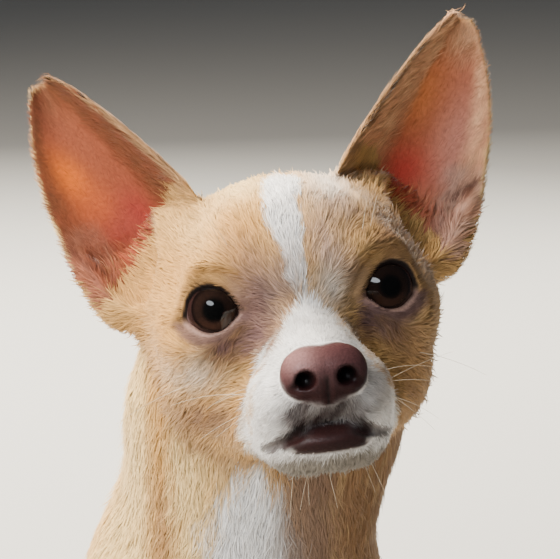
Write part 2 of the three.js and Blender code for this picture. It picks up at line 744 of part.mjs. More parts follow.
// One claw, bent down from the end of a toe; grown, it is the hollow the claw sits in.
function claw(root, grow = 0) {
  const [x, y, z] = root;
  const line = new THREE.QuadraticBezierCurve3(
    new THREE.Vector3(x, y + 1.6 + grow, z + 0.4),
    new THREE.Vector3(x, y - 2.6, z + 0.6),
    new THREE.Vector3(x, y - CLAW.length + 1.6 - grow, z - 2.6),
  );
  const rings = 5,
    sides = 6,
    points = [],
    triangles = [];
  for (let i = 0; i < rings; i++) {
    const t = i / (rings - 1);
    const centre = line.getPoint(t),
      along = line.getTangent(t);
    const upward = new THREE.Vector3(1, 0, 0).cross(along).normalize();
    const radius = CLAW.radius * (1 - 0.72 * t) + grow;
    for (let j = 0; j < sides; j++) {
      const a = (2 * Math.PI * j) / sides;
      const p = centre.clone().addScaledVector(upward, Math.sin(a) * radius * 1.15);
      points.push([p.x + Math.cos(a) * radius * 0.8, p.y, p.z]);
    }
  }
  points.push(line.getPoint(0).toArray(), line.getPoint(1).toArray());
  const ring = (i, j) => i * sides + (j % sides);
  for (let j = 0; j < sides; j++) {
    for (let i = 0; i < rings - 1; i++) {
      triangles.push(ring(i, j), ring(i + 1, j), ring(i, j + 1));
      triangles.push(ring(i, j + 1), ring(i + 1, j), ring(i + 1, j + 1));
    }
    triangles.push(rings * sides, ring(0, j), ring(0, j + 1));
    triangles.push(rings * sides + 1, ring(rings - 1, j + 1), ring(rings - 1, j));
  }
  return solidOf({ points, triangles });
}

function makeTrunk() {
  const column = solidOf(surface(dog, [-60, -110, 120], [60, 60, 290], 3.2, 900));
  place(model, "neck", ahead(ahead(column, CUTS.nape), CUTS.collar), FAWN);
  let torso = solidOf(surface(dog, [-72, -90, -8], [72, 125, 215], 3, 2600)).subtract(floor);
  torso = without(behind(torso, CUTS.collar), REGIONS.tail);
  for (const side of Object.values(SIDES)) {
    const { foreleg, forepaw, thigh, hindfoot } = REGIONS;
    for (const region of [foreleg, forepaw, thigh, hindfoot]) torso = without(torso, region(side));
  }
  place(model, "torso", torso, FAWN);
  const drawn = solidOf(surface(dog, [-30, 84, -6], [100, 160, 42], 1.6, 700)).subtract(floor);
  const tail = within(drawn, REGIONS.tail);
  place(model, "tail_base", behind(tail, REGIONS.tailTip), FAWN);
  place(model, "tail_tip", ahead(tail, REGIONS.tailTip), FAWN);
}

function makeLegs(name, side) {
  const drawn = (low, high, cell, wanted) => {
    const [near, far] = side > 0 ? [low[0], high[0]] : [-high[0], -low[0]];
    const drawing = surface(dog, [near, low[1], low[2]], [far, high[1], high[2]], cell, wanted);
    return solidOf(drawing).subtract(floor);
  };
  const { foreleg, forepaw, thigh, hindfoot } = REGIONS;
  const arm = within(drawn([4, -76, 14], [66, 20, 116], 2, 700), foreleg(side));
  place(model, "foreleg_" + name, without(arm, forepaw(side)), FAWN);
  const ham = within(drawn([14, -22, 4], [74, 112, 112], 2.6, 800), thigh(side));
  place(model, "thigh_" + name, without(without(ham, hindfoot(side)), foreleg(side)), FAWN);
  const front = drawn([8, -76, -6], [56, -14, 36], 1.4, 800);
  const forward = side > 0 ? STEP : 0;
  makeFoot("forepaw_" + name, within(front, forepaw(side)), [side * FORE.aside, FORE.back - forward]);
  const back = drawn([24, -14, -6], [70, 102, 40], 1.6, 900);
  makeFoot("hindfoot_" + name, within(back, hindfoot(side)), [side * HIND.aside, HIND.back]);
}
function makeFoot(name, foot, at) {
  const roots = [...Array(TOES).keys()].map((toe) => {
    const { tip } = toeLine(at, toe);
    return [tip[0], tip[1] - 4.4, tip[2] + 0.6];
  });
  const hollowed = roots.reduce((rest, root) => rest.subtract(claw(root, GAP)), foot);
  place(model, name, hollowed, FAWN);
  roots.forEach((root, toe) => place(model, `claw_${name}_${toe + 1}`, claw(root), HORN));
}

makeHead();
makeTrunk();
for (const [name, side] of Object.entries(SIDES)) makeLegs(name, side);

model.updateMatrixWorld(true);
const extent = new THREE.Box3().setFromObject(model, true);
const middle = extent.getCenter(new THREE.Vector3());
model.position.set(-middle.x, -middle.y, -extent.min.z);

export default model;
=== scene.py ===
import math

import bpy
import numpy as np
from mathutils import Matrix, Vector


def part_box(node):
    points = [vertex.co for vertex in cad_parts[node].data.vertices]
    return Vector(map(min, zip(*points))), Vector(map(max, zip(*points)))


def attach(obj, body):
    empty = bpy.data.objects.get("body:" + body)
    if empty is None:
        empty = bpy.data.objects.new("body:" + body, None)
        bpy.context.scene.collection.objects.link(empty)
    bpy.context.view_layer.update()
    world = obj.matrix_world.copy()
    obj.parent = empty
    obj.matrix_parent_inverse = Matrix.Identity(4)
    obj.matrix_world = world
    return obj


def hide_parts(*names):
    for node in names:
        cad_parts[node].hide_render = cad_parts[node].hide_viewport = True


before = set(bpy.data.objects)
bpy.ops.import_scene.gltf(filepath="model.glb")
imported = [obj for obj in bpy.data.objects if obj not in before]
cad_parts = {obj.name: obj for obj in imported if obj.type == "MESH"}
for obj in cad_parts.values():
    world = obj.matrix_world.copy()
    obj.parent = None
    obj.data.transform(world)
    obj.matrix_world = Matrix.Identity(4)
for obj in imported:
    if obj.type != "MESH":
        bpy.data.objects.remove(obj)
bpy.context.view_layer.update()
MM = 0.001
FAR = 500.0
FLOOR_CLEAR, TUFT_CLEAR = 0.15, 0.3

# The forms of the part's source, in millimetres and in its own frame, as fields of many points at once.
HEAD_AT = np.array([2.0, -78.0, 262.0])
VIEW_AZIMUTH, VIEW_ELEVATION = -18.0, 12.0
HEAD_TILT, HEAD_TURN, HEAD_NOD = 7.6, 5.5, 5.0
EYE_AT = np.array([22.3, 1.2, 0.6])
EYE_RADIUS = 9.4
LID = 1.5
OPENING = (7.5, 6.7)
GAZE_OUT = 19.0
OUTER_CORNER, INNER_CORNER = 0.34, 0.36
OUTER_TILT, INNER_TILT, CORNER_WIDE = 0.36, 0.19, 0.34
LID_EDGE, LID_RISE = 0.85, 6.0
NOSE_BOTTOM, NOSE_TIP, NOSE_ROOT = -25.0, -42.5, -35.4
EAR_LONG, EAR_THICK, EAR_IN, EAR_OUT, EAR_LOBE = 57.0, 2.8, 25.5, 20.5, 2.4
EAR_CUP, EAR_SHALLOW, EAR_RIM, EAR_BLUNT = 16.0, 3.0, 1.4, 2.2
EAR_POSES = {"left": ([37, 28, 20], 24, 14, 0), "right": ([40.5, 28, 18], 30, 27, 14)}
FORE_ASIDE, FORE_BACK, STEP = 31.0, -46.0, 5.0
HIND_ASIDE, HIND_BACK = 47.0, 12.0
TOES, TOE_SPREAD = 4, 0.07
SIDES = {"left": 1.0, "right": -1.0}
LEGS_TOP, BODY_TOP, FEET_TOP = 180.0, 305.0, 60.0


def turn(axis, degrees):
    return np.array(Matrix.Rotation(math.radians(degrees), 3, Vector(axis)), float)


HEAD_TURNED = (
    turn((0, 0, 1), VIEW_AZIMUTH)
    @ turn((1, 0, 0), -VIEW_ELEVATION)
    @ turn((0, 1, 0), -HEAD_TILT)
    @ turn((0, 0, 1), HEAD_TURN)
    @ turn((1, 0, 0), HEAD_NOD)
)


def to_head(p):
    return (p - HEAD_AT.astype(p.dtype)) @ HEAD_TURNED.astype(p.dtype)


def from_head(q):
    return np.asarray(q, float) @ HEAD_TURNED.T + HEAD_AT


def blob(centre, radii, lean=0.0):
    (cx, cy, cz), (rx, ry, rz) = centre, radii
    c, s = math.cos(math.radians(lean)), math.sin(math.radians(lean))

    def field(p):
        u, dy, dz = (p[:, 0] - cx) / rx, p[:, 1] - cy, p[:, 2] - cz
        v, w = (dy * c - dz * s) / ry, (dy * s + dz * c) / rz
        near = np.sqrt(u * u + v * v + w * w + 1e-6)
        slope = np.sqrt((u / rx) ** 2 + (v / ry) ** 2 + (w / rz) ** 2 + 1e-9)
        return near * (near - 1) / slope

    return field


def limb(a, b, ra, rb):
    a, b = np.asarray(a, float), np.asarray(b, float)
    d = b - a

    def field(p):
        q = p - a.astype(p.dtype)
        t = np.clip(q @ (d / (d @ d)).astype(p.dtype), 0, 1)
        q = q - t[:, None] * d.astype(p.dtype)
        return np.sqrt((q * q).sum(1)) - (ra + (rb - ra) * t)

    return field


def rounding(d, e, soft):
    """How much the edge where two fields meet is rounded."""
    h = np.maximum(soft - np.abs(d - e), 0) / soft
    return h * h * soft / 4


def join(soft, *fields):
    def field(p):
        d = fields[0](p)
        for other in fields[1:]:
            e = other(p)
            d = np.minimum(d, e) - rounding(d, e, soft)
        return d

    return field


def carve(soft, form, *cutters):
    def field(p):
        d = form(p)
        for cutter in cutters:
            e = -cutter(p)
            d = np.maximum(d, e) + rounding(d, e, soft)
        return d

    return field


def chain(points, soft):
    links = zip(points, points[1:])
    return join(soft, *[limb(a[:3], b[:3], a[3], b[3]) for a, b in links])


def pair(form):
    def field(p):
        q = p.copy()
        q[:, 0] = np.abs(q[:, 0])
        return form(q)

    return field


def only(inside, form):
    """The form read only where it matters, and far away elsewhere."""

    def field(p):
        out = np.full(len(p), FAR, p.dtype)
        m = inside(p)
        if m.any():
            out[m] = form(p[m])
        return out

    return field


def near(centre, reach, form):
    c = np.asarray(centre, float)
    return only(lambda p: ((p - c.astype(p.dtype)) ** 2).sum(1) < reach * reach, form)


def ear_frame(root, splay, outward, lean):
    s = math.radians(splay)
    up = Vector((math.sin(s), 0.06, math.cos(s))).normalized()
    across = Vector((math.cos(s), 0, -math.sin(s)))
    across = Matrix.Rotation(math.radians(outward), 3, up) @ across
    up = Matrix.Rotation(-math.radians(lean), 3, across) @ up
    basis = np.array([across, up.cross(across), up], float)
    return basis, np.array(root, float)


EAR_FRAMES = {name: ear_frame(*pose) for name, pose in EAR_POSES.items()}


def in_ear(q, name):
    basis, root = EAR_FRAMES[name]
    return (q - root.astype(q.dtype)) @ basis.T.astype(q.dtype)


def ear_coordinates(q):
    """Across, back and up in the frame of the ear on the same side of the head."""
    left = q[:, 0] > 0
    m = q.copy()
    m[:, 0] = np.abs(m[:, 0])
    out = np.empty_like(q)
    for name, mask in (("left", left), ("right", ~left)):
        if mask.any():
            out[mask] = in_ear(m[mask], name)
    return out


def at_ears(form):
    return lambda q: form(ear_coordinates(q))


def bell(value, middle, wide):
    """1 at the middle and smoothly down to 0 on both sides of it."""
    return np.exp(-(((value - middle) / wide) ** 2))


def ear_half(across, up):
    outer = np.clip((up - 5) / (EAR_LONG - 5), 0, 1)
    inner = np.clip((up + 2) / (EAR_LONG + 2), 0, 1)
    lobe = EAR_LOBE * bell(up, 1, 8)
    return np.where(across > 0, EAR_OUT * (1 - outer**2.1) ** 0.8 + lobe, EAR_IN * (1 - inner) ** 0.62)


def ear_curve(e):
    """The half width of the ear's sheet, the depth of its cup, and the place across it from -1 to 1."""
    half = ear_half(e[:, 0], e[:, 2])
    depth = EAR_SHALLOW + (EAR_CUP - EAR_SHALLOW) * (1 - np.clip(e[:, 2] / EAR_LONG, 0, 1)) ** 1.2
    share = np.clip(e[:, 0] / np.maximum(half, 0.5), -1.1, 1.1)
    return half, depth, share


def ear_sheet(e):
    across, back, up = e.T
    half, depth, share = ear_curve(e)
    slope = 2 * depth * share / np.maximum(half, 0.5)
    thick = EAR_THICK * (1 - 0.25 * (up / EAR_LONG))
    sheet = np.abs(back - depth * (1 - share * share)) / np.sqrt(1 + slope * slope) - thick / 2
    outline = np.maximum(np.maximum(np.abs(across) - half, up - EAR_LONG + EAR_BLUNT), -15 - up)
    return np.maximum(sheet, outline) + rounding(sheet, outline, EAR_RIM)


def ear_behind(e):
    """How far behind the middle of the ear's sheet a point lies."""
    _, depth, share = ear_curve(e)
    return e[:, 1] - depth * (1 - share * share)


def ear_share(e, least=1):
    """Where a point lies across its ear, from -1 at the inner edge to 1 at the outer."""
    return e[:, 0] / np.maximum(ear_half(e[:, 0], e[:, 2]), least)


def eye_places(q):
    """Seen from the nearer eye's middle: outward, up, and the distance from it."""
    gx, gy = math.sin(math.radians(GAZE_OUT)), -math.cos(math.radians(GAZE_OUT))
    px, py, pz = np.abs(q[:, 0]) - EYE_AT[0], q[:, 1] - EYE_AT[1], q[:, 2] - EYE_AT[2]
    ahead = np.maximum(px * gx + py * gy, 0.1)
    aside = px * -gy + py * gx
    grow = EYE_RADIUS / ahead / 1.2
    return aside * grow / OPENING[0], pz * grow / OPENING[1], np.sqrt(px * px + py * py + pz * pz)


def to_corner(u, v, tilt):
    """How well a direction from the eye's middle agrees with that of the lids' corner, 0 to 1."""
    return np.exp(-((np.arctan2(v + tilt * u, np.maximum(u, 1e-3)) / CORNER_WIDE) ** 2)) * (u > 0)


def lid_angle(q):
    """How far a point lies from the middle of the nearer eye's opening, 1 at the lids' edge."""
    u, v, away = eye_places(q)
    outer, inner = to_corner(u, v, OUTER_TILT), to_corner(-u, v, INNER_TILT)
    angle = np.sqrt(u * u + v * v) / (1 + OUTER_CORNER * outer + INNER_CORNER * inner)
    return angle + 0.3 * np.maximum(away - EYE_RADIUS - 4, 0)


def lid_opening(q):
    deep = EYE_RADIUS - 0.5 - eye_places(q)[2]
    return np.maximum((lid_angle(q) - 1) * OPENING[1], deep)


def lid_slope(q):
    """What is left of the flesh round the opening: a lid, thin at its edge and thicker beyond."""
    return (LID_EDGE + LID_RISE * (lid_angle(q) - 1) + EYE_RADIUS - eye_places(q)[2]) / 1.5


skull = blob((0, 24, 3), (37, 35, 30.5))
forehead = blob((0, 3, 12), (24, 16, 18))
brows = pair(blob((20, -3, 8.5), (11, 8, 8)))
cheekbones = pair(blob((29.5, 12, -7), (10, 19, 12)))
cheeks = pair(blob((22.5, 19, -20), (12.8, 19, 15.5)))
jaw = pair(limb((19.5, 15, -28), (8.5, -20, -34.5), 12.5, 8))
muzzle = limb((0, 2, -13.5), (0, -30, -18), 15.5, 11.5)
lips = pair(blob((9.4, -21, -24.5), (10.2, 16.5, 11.8)))
chin = blob((0, -22.5, -35.8), (13, 13, 7.6))
nose_pad = join(
    2.5,
    pair(blob((5, -37, -16), (6.4, 6, 6.8))),
    blob((0, -36.8, -14.9), (7.5, 6.2, 5.8)),
    blob((0, -37, -19.4), (5.2, 5, 5.8)),
)
ear_bases = at_ears(join(6, blob((-2, 7, -8), (16, 11, 16)), blob((11, 4, -8), (11, 7, 13))))
lid_ball = EYE_RADIUS + LID
lid_bulges = pair(blob(EYE_AT, (lid_ball, lid_ball, lid_ball)))
nostril = blob((5.4, -43.2, -17), (2.6, 4.6, 2.5))
nostril_slit = limb((6.5, -42.5, -18), (10, -40.5, -19.6), 1.1, 0.7)
nostrils = pair(join(1, nostril, nostril_slit))
philtrum = limb((0, NOSE_TIP - 0.6, -18), (0, -40, -28.5), 0.9, 0.8)
MOUTH = [(0, -40.6, -29, 1), (6.5, -38.4, -30.6, 1.1), (13, -32, -34, 1.1), (19, -22, -36.6, 0.9)]
mouth_line = pair(chain(MOUTH, 0.5))
lower_lip = blob((0, -29.5, -34), (13, 9.2, 4.6))
ear_hollows = at_ears(blob((4, -2, 6), (12, 13, 21)))
pockets = at_ears(blob((18.5, 2, -4), (4.5, 4, 13)))
ears = near((0, 34, 40), 115, join(2, at_ears(ear_sheet), pockets))
face = join(
    6.5,
    join(10, skull, forehead, cheekbones, cheeks, jaw, ear_bases),
    join(4, muzzle, lips, chin),
    brows,
)
face_and_nose = join(1.2, join(2, face, lid_bulges, lower_lip), near((0, -37, -18), 30, nose_pad))
openings = pair(near(EYE_AT, 34, lid_opening))
head_form = join(
    3,
    carve(
        0.8,
        carve(2, face_and_nose, ear_hollows, pair(near(EYE_AT, 20, lid_slope))),
        openings,
        near((0, -42, -18), 22, nostrils),
        near((0, -41, -23), 22, philtrum),
        near((0, -32, -32), 34, mouth_line),
    ),
    ears,
)

neck_top = from_head([0, 36, -14])
ruff = blob((4, -40, 223), (38.5, 32, 36))
throat = blob((0, -44, 186), (30, 23, 34))
neck = join(14, limb(neck_top, (0, -20, 170), 33, 39), ruff, throat)
back_line = limb((0, -8, 158), (0, 70, 62), 30, 38)
ribs = blob((0, -4, 130), (43, 46, 62), -38)
shoulders = pair(blob((26, -22, 148), (19, 26, 34), -20))
breast = blob((0, -46, 138), (27, 20, 30))
belly = blob((0, 30, 88), (38, 44, 42))
rump = blob((0, 66, 42), (42, 42, 43.5))
trunk = join(16, ribs, back_line, breast, belly, rump, shoulders)


def toe_line(x, y, toe):
    off = toe - (TOES - 1) / 2
    shorter = 0 if abs(off) < 1 else 3.2
    root = (x + off * 4.6, y + 2, 9.2)
    tip = (x + off * 6.1 + math.sin(off * TOE_SPREAD) * 6, y - 11.5 + shorter, 6.2)
    return root, tip


def paw_form(x, y):
    toes = [limb(*toe_line(x, y, toe), 5.2, 4.9) for toe in range(TOES)]
    return join(1.6, blob((x, y + 2, 5.5), (9.5, 10, 7.5)), *toes)


def fore_place(side):
    return side * FORE_ASIDE, FORE_BACK - (STEP if side > 0 else 0)


def fore_leg(side):
    x, y = fore_place(side)
    upper = limb((side * 29, -40, 128), (side * 36, -14, 98), 19, 14)
    lower = limb((side * 36, -16, 98), (x, y + 10, 34), 13, 8.2)
    wrist = limb((x, y + 10, 34), (x, y + 4, 14), 8.2, 8.4)
    return join(3, join(8, upper, lower, wrist), paw_form(x, y))


def hind_leg(side):
    thigh = blob((side * 38, 50, 54), (20, 40, 40), 30)
    knee = limb((side * 36, 52, 66), (side * 46, 14, 60), 26, 17)
    shank = limb((side * 47, 18, 56), (side * 45, 76, 19), 15, 8.5)
    return join(10, thigh, knee, shank)


def hind_foot(side):
    x = side * HIND_ASIDE
    instep = limb((side * 45, 82, 12), (x, HIND_BACK + 8, 9), 8, 8.2)
    return join(3, instep, paw_form(x, HIND_BACK))


def smooth_line(stops, count):
    """A centripetal Catmull-Rom line through the stops, at evenly spaced parameters."""
    p = [np.array(s, float) for s in stops]
    p = [2 * p[0] - p[1], *p, 2 * p[-1] - p[-2]]
    out = []
    for i in range(count + 1):
        at = i / count * (len(stops) - 1)
        k = min(int(at), len(stops) - 2)
        w = at - k
        a, b, c, d = p[k : k + 4]
        t0, t1, t2 = (max(np.linalg.norm(v - u) ** 0.5, 1e-4) for u, v in ((a, b), (b, c), (c, d)))
        m1 = (b - a) / t0 - (c - a) / (t0 + t1) + (c - b) / t1
        m2 = (c - b) / t1 - (d - b) / (t1 + t2) + (d - c) / t2
        m1, m2 = m1 * t1, m2 * t1
        out.append(
            (2 * w**3 - 3 * w**2 + 1) * b
            + (w**3 - 2 * w**2 + w) * m1
            + (3 * w**2 - 2 * w**3) * c
            + (w**3 - w**2) * m2
        )
    return np.array(out)


TAIL_STOPS = [(0, 92, 20), (4, 116, 11), (22, 133, 8.6), (50, 136, 7.4), (78, 122, 6)]
TAIL_STEPS = 12
TAIL = smooth_line(TAIL_STOPS, TAIL_STEPS)
tail = chain([(*p, 9.5 + (4.8 - 9.5) * i / TAIL_STEPS) for i, p in enumerate(TAIL)], 2)


def below(top, form):
    return only(lambda p: p[:, 2] < top, form)


body_form = join(
    5,
    join(
        12,
        join(14, trunk, neck),
        *[below(LEGS_TOP, form(side)) for side in SIDES.values() for form in (fore_leg, hind_leg)],
    ),
    only(lambda p: (p[:, 1] > 60) & (p[:, 2] < 60), tail),
)
head_near = only(lambda p: (p[:, 2] > 185) & (p[:, 1] < 35), lambda p: head_form(to_head(p)))
body_near = below(BODY_TOP, body_form)
feet_near = [below(FEET_TOP, hind_foot(side)) for side in SIDES.values()]
dog = join(2.5, join(10, body_near, head_near), *feet_near)


def slope_of(field, p, e=0.05):
    f = field(p)
    g = np.empty_like(p)
    for n in range(3):
        q = p.copy()
        q[:, n] += e
        g[:, n] = (field(q) - f) / e
    return f, g


# The skin: one surface under the coat, from the nose to the tail.
def ramp(low, high, value):
    """0 at low and before it, 1 at high and beyond, smooth between them. Either may be the greater."""
    t = np.clip((value - low) / (high - low), 0, 1)
    return t * t * (3 - 2 * t)


def blend(a, b, share):
    return a * (1 - share) + b * share


def spaced(stops):
    """Places along an axis: stops are (start, step) pairs, each step holding up to the next start."""
    out = []
    for (start, step), (end, _) in zip(stops, stops[1:]):
        out.append(np.linspace(start, end, max(1, round((end - start) / step)), endpoint=False))
    return np.concatenate(out + [[stops[-1][0]]])


def values_on(field, axes, rough, block=4):
    """The field at every grid point near the surface, and its value at the block's middle elsewhere."""
    shape = [len(a) for a in axes]
    blocks = [math.ceil(n / block) for n in shape]
    first = np.stack(np.meshgrid(*[np.arange(n) for n in blocks], indexing="ij"), -1).reshape(-1, 3) * block
    lows = np.stack([a[first[:, n]] for n, a in enumerate(axes)], 1)
    last = [np.minimum(first[:, n] + block, shape[n] - 1) for n in range(3)]
    highs = np.stack([a[last[n]] for n, a in enumerate(axes)], 1)
    middle = rough((lows + highs) / 2)
    close = np.abs(middle) < 0.75 * np.linalg.norm(highs - lows, axis=1) + 1
    grid = np.empty([n * block for n in blocks], np.float32)
    grid.reshape(blocks[0], block, blocks[1], block, blocks[2], block)[:] = middle.reshape(
        blocks[0], 1, blocks[1], 1, blocks[2], 1
    )
    inner = np.stack(np.meshgrid(*[np.arange(block)] * 3, indexing="ij"), -1).reshape(-1, 3)
    chosen = first[close]
    for start in range(0, len(chosen), 3000):
        at = (chosen[start : start + 3000, None] + inner[None]).reshape(-1, 3)
        held = np.minimum(at, np.array(shape) - 1)
        points = np.stack([a[held[:, n]] for n, a in enumerate(axes)], 1)
        grid[at[:, 0], at[:, 1], at[:, 2]] = field(points)
    return grid[: shape[0], : shape[1], : shape[2]]


def face_links(pattern, m, side):
    """The pairs of a cell's edges that the surface joins across one face, for one pattern of corners."""
    a, b = (m + 1) % 3, (m + 2) % 3

    def corner(i, j):
        c = [0, 0, 0]
        c[m], c[a], c[b] = side, i, j
        return c

    def within(c):
        return pattern >> (c[0] * 4 + c[1] * 2 + c[2]) & 1

    def edge(n, c):
        return n * 4 + c[(n + 1) % 3] * 2 + c[(n + 2) % 3]

    crossed = [edge(a, corner(0, j)) for j in (0, 1) if within(corner(0, j)) != within(corner(1, j))]
    crossed += [edge(b, corner(i, 0)) for i in (0, 1) if within(corner(i, 0)) != within(corner(i, 1))]
    if len(crossed) == 2:
        return [crossed]
    if len(crossed) == 4:
        outside = [corner(i, j) for i in (0, 1) for j in (0, 1) if not within(corner(i, j))]
        return [(edge(a, c), edge(b, c)) for c in outside]
    return []


def cell_patches():
    """For each pattern of inside corners, the patch of surface that each of a cell's edges belongs to."""
    table = np.zeros((256, 12), np.int64)
    for pattern in range(256):
        group = list(range(12))
        for m in range(3):
            for side in (0, 1):
                for first, second in face_links(pattern, m, side):
                    old, new = group[first], group[second]
                    group = [new if g == old else g for g in group]
        table[pattern] = group
    return table


def surface(field, axes, rough):
    """A closed net of quads on the field's zero level: one point for each patch of it in a cell."""
    axes = [np.asarray(a, np.float32) for a in axes]
    value = values_on(field, axes, rough)
    inside = value < 0
    patches = cell_patches()
    flat_inside = inside.ravel()
    shape = np.array(value.shape)
    strides = np.array([shape[1] * shape[2], shape[2], 1])
    cells, places, flips = [], [], []
    for n in range(3):
        crossed = np.argwhere(np.diff(inside, axis=n))
        u, v = (n + 1) % 3, (n + 2) % 3
        kept = (crossed[:, u] > 0) & (crossed[:, v] > 0)
        kept &= (crossed[:, u] < shape[u] - 1) & (crossed[:, v] < shape[v] - 1)
        crossed = crossed[kept]
        far = crossed.copy()
        far[:, n] += 1
        a, b = value[tuple(crossed.T)], value[tuple(far.T)]
        t = a / (a - b)
        point = np.stack([axes[m][crossed[:, m]] for m in range(3)], 1)
        point[:, n] += t * (axes[n][far[:, n]] - axes[n][crossed[:, n]])
        flat = crossed @ strides
        for du, dv in ((1, 1), (0, 1), (0, 0), (1, 0)):
            cell = flat - du * strides[u] - dv * strides[v]
            pattern = np.zeros(len(cell), np.int64)
            for c in range(8):
                step = (c >> 2) * strides[0] + (c >> 1 & 1) * strides[1] + (c & 1) * strides[2]
                pattern += flat_inside[cell + step].astype(np.int64) << c
            cells.append(cell * 12 + patches[pattern, n * 4 + du * 2 + dv])
            places.append(point)
        flips.append(a >= 0)
    cells = np.concatenate([np.stack(cells[k : k + 4], 1) for k in (0, 4, 8)]).ravel()
    places = np.concatenate([np.repeat(places[k], 4, axis=0) for k in (0, 4, 8)])
    index = np.unique(cells, return_inverse=True)[1]
    count = np.bincount(index)
    points = np.stack([np.bincount(index, places[:, m]) / count for m in range(3)], 1)
    quads = index.reshape(-1, 4)
    flip = np.concatenate(flips)
    quads[flip] = quads[flip][:, ::-1]
    return points, quads


def settled(field, points, offset, rounds=2, reach=0.5):
    """The points moved along the field's slope to where it is -offset, and the outward normals there."""
    points = points.astype(np.float32)
    for _ in range(rounds):
        f, g = slope_of(field, points)
        steep = np.maximum((g * g).sum(1), 0.2)
        points -= np.clip((f + offset)[:, None] * g / steep[:, None], -reach, reach).astype(np.float32)
    return points, g / np.linalg.norm(g, axis=1, keepdims=True).clip(1e-6)


def waves(p, scale, seed, count=7):
    """A smooth unevenness of the given wavelength in millimetres, about -1 to 1."""
    rng = np.random.RandomState(seed)
    total = np.zeros(len(p))
    for _ in range(count):
        k = rng.normal(size=3)
        k *= 2 * math.pi / scale / np.linalg.norm(k) * rng.uniform(0.6, 1.5)
        total += np.sin(p @ k + rng.uniform(0, 2 * math.pi))
    return total / math.sqrt(count)


def nose_distance(q):
    """Outside the nose's bare leather this is the distance to its edge, and negative on it."""
    ends = np.maximum(q[:, 1] - NOSE_ROOT - 1.2, NOSE_BOTTOM + 1.2 - q[:, 2])
    return np.maximum(nose_pad(q), ends)


# The edge of the face's fur in the ear's cup: its places across and its heights, and what the left ear adds.
FUR_ACROSS = [-12, -8, -4, 4, 10, 13, 16]
FUR_UP = [7.5, 5.5, 4.2, 1.6, -1.5, -4.5, -8]
LEFT_ACROSS, LEFT_UP = [-10, -2, 6], [4, -1.5, -3.2]


def above_fur(q, e):
    """The part of the ear's inside above the edge of the face's fur, which runs aslant to the lobe."""
    edge = np.interp(e[:, 0], FUR_ACROSS, FUR_UP) + 1.1 * waves(e, 3.1, 41)
    edge += np.where(q[:, 0] > 0, np.interp(e[:, 0], LEFT_ACROSS, LEFT_UP), 0)
    return ramp(-0.8, 0.8, e[:, 2] - edge)


def regions(p):
    """Soft shares, from 0 to 1, of the parts of the body at each point."""
    q = to_head(p)
    e = ear_coordinates(q)
    head = ramp(-4, 4, body_form(p) - head_form(q))
    ear = ramp(3, 0, ears(q)) * ramp(0, 9, e[:, 2])
    inner = ramp(3, 0, ears(q)) * above_fur(q, e) * ramp(1.2, -1.2, ear_behind(e))
    return q, e, head, ear, inner


def coat_depth(p, parts):
    """How deep the skin lies below the tips of the coat."""
    q, _, head, ear, _ = parts
    y, height = q[:, 1], p[:, 2]
    lids = ramp(2.3, 1.05, lid_angle(q)) * ramp(6, 0, y)
    bare = ramp(3.0, 0.0, nose_distance(q))
    mouth = ramp(4, 0.5, mouth_line(q)) * ramp(-16, -24, y)
    on_head = 1.2 - 0.75 * ramp(-8, -24, y)
    for share, depth in ((lids, 0.12), (bare, 0.04), (mouth, 0.15), (ear, 0.24)):
        on_head = blend(on_head, depth, share)
    on_body = 0.8 + 0.25 * ramp(50, 130, height)
    on_body = on_body * (1 - 0.35 * ramp(26, 6, height))
    return blend(on_body, on_head, head)


def coat_at(p):
    return coat_depth(p, regions(p))


def skin_field(p):
    f = dog(p)
    out = f + 1.0
    close = (f > -3.5) & (f < 1)
    if close.any():
        out[close] = f[close] + coat_at(p[close])
    return np.maximum(out, FLOOR_CLEAR - p[:, 2])


def rough_skin(p):
    return np.maximum(dog(p) + 1, FLOOR_CLEAR - p[:, 2])


# The grid is fine where the face is and coarse elsewhere: each place is followed by the step from there on.
coarser = 1.0
AXES = [
    spaced([(-70, 0.7 * coarser), (71, 2.2 * coarser), (90, 0)]),
    spaced([(-128, 0.62 * coarser), (-78, 0.76 * coarser), (-6, 2.2 * coarser), (150, 0)]),
    spaced(
        [(-2, 2.2 * coarser), (196, 0.9 * coarser), (214, 0.64 * coarser), (290, 0.72 * coarser), (338, 0)]
    ),
]
eye_low, eye_high = zip(*[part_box("eye_" + name) for name in SIDES])
mid_eyes = sum((np.array(v) for v in eye_low + eye_high), np.zeros(3)) / 4 / MM
SHIFT = mid_eyes - from_head([0, EYE_AT[1], EYE_AT[2]])


def to_scene(p):
    return (np.asarray(p, float) + SHIFT) * MM


def add_object(name, data):
    thing = bpy.data.objects.new(name, data)
    bpy.context.scene.collection.objects.link(thing)
    return thing


def make_mesh(name, points, faces, size):
    """A mesh from arrays: points in the part's millimetres, faces of size corners each."""
    mesh = bpy.data.meshes.new(name)
    mesh.vertices.add(len(points))
    mesh.vertices.foreach_set("co", to_scene(points).astype(np.float32).ravel())
    mesh.loops.add(len(faces) * size)
    mesh.loops.foreach_set("vertex_index", faces.astype(np.int32).ravel())
    mesh.polygons.add(len(faces))
    mesh.polygons.foreach_set("loop_start", np.arange(0, len(faces) * size, size, dtype=np.int32))
    mesh.update(calc_edges=True)
    mesh.polygons.foreach_set("use_smooth", np.ones(len(faces), bool))
    return add_object(name, mesh)


def set_colours(piece, colours, name="coat_colour"):
    data = np.ones((len(colours), 4), np.float32)
    data[:, :3] = colours
    layer = piece.data.color_attributes.new(name, "FLOAT_COLOR", "POINT")
    layer.data.foreach_set("color", data.ravel())


def linear(colour):
    c = np.asarray(colour, float) / 255
    return np.where(c <= 0.04045, c / 12.92, ((c + 0.055) / 1.055) ** 2.4)


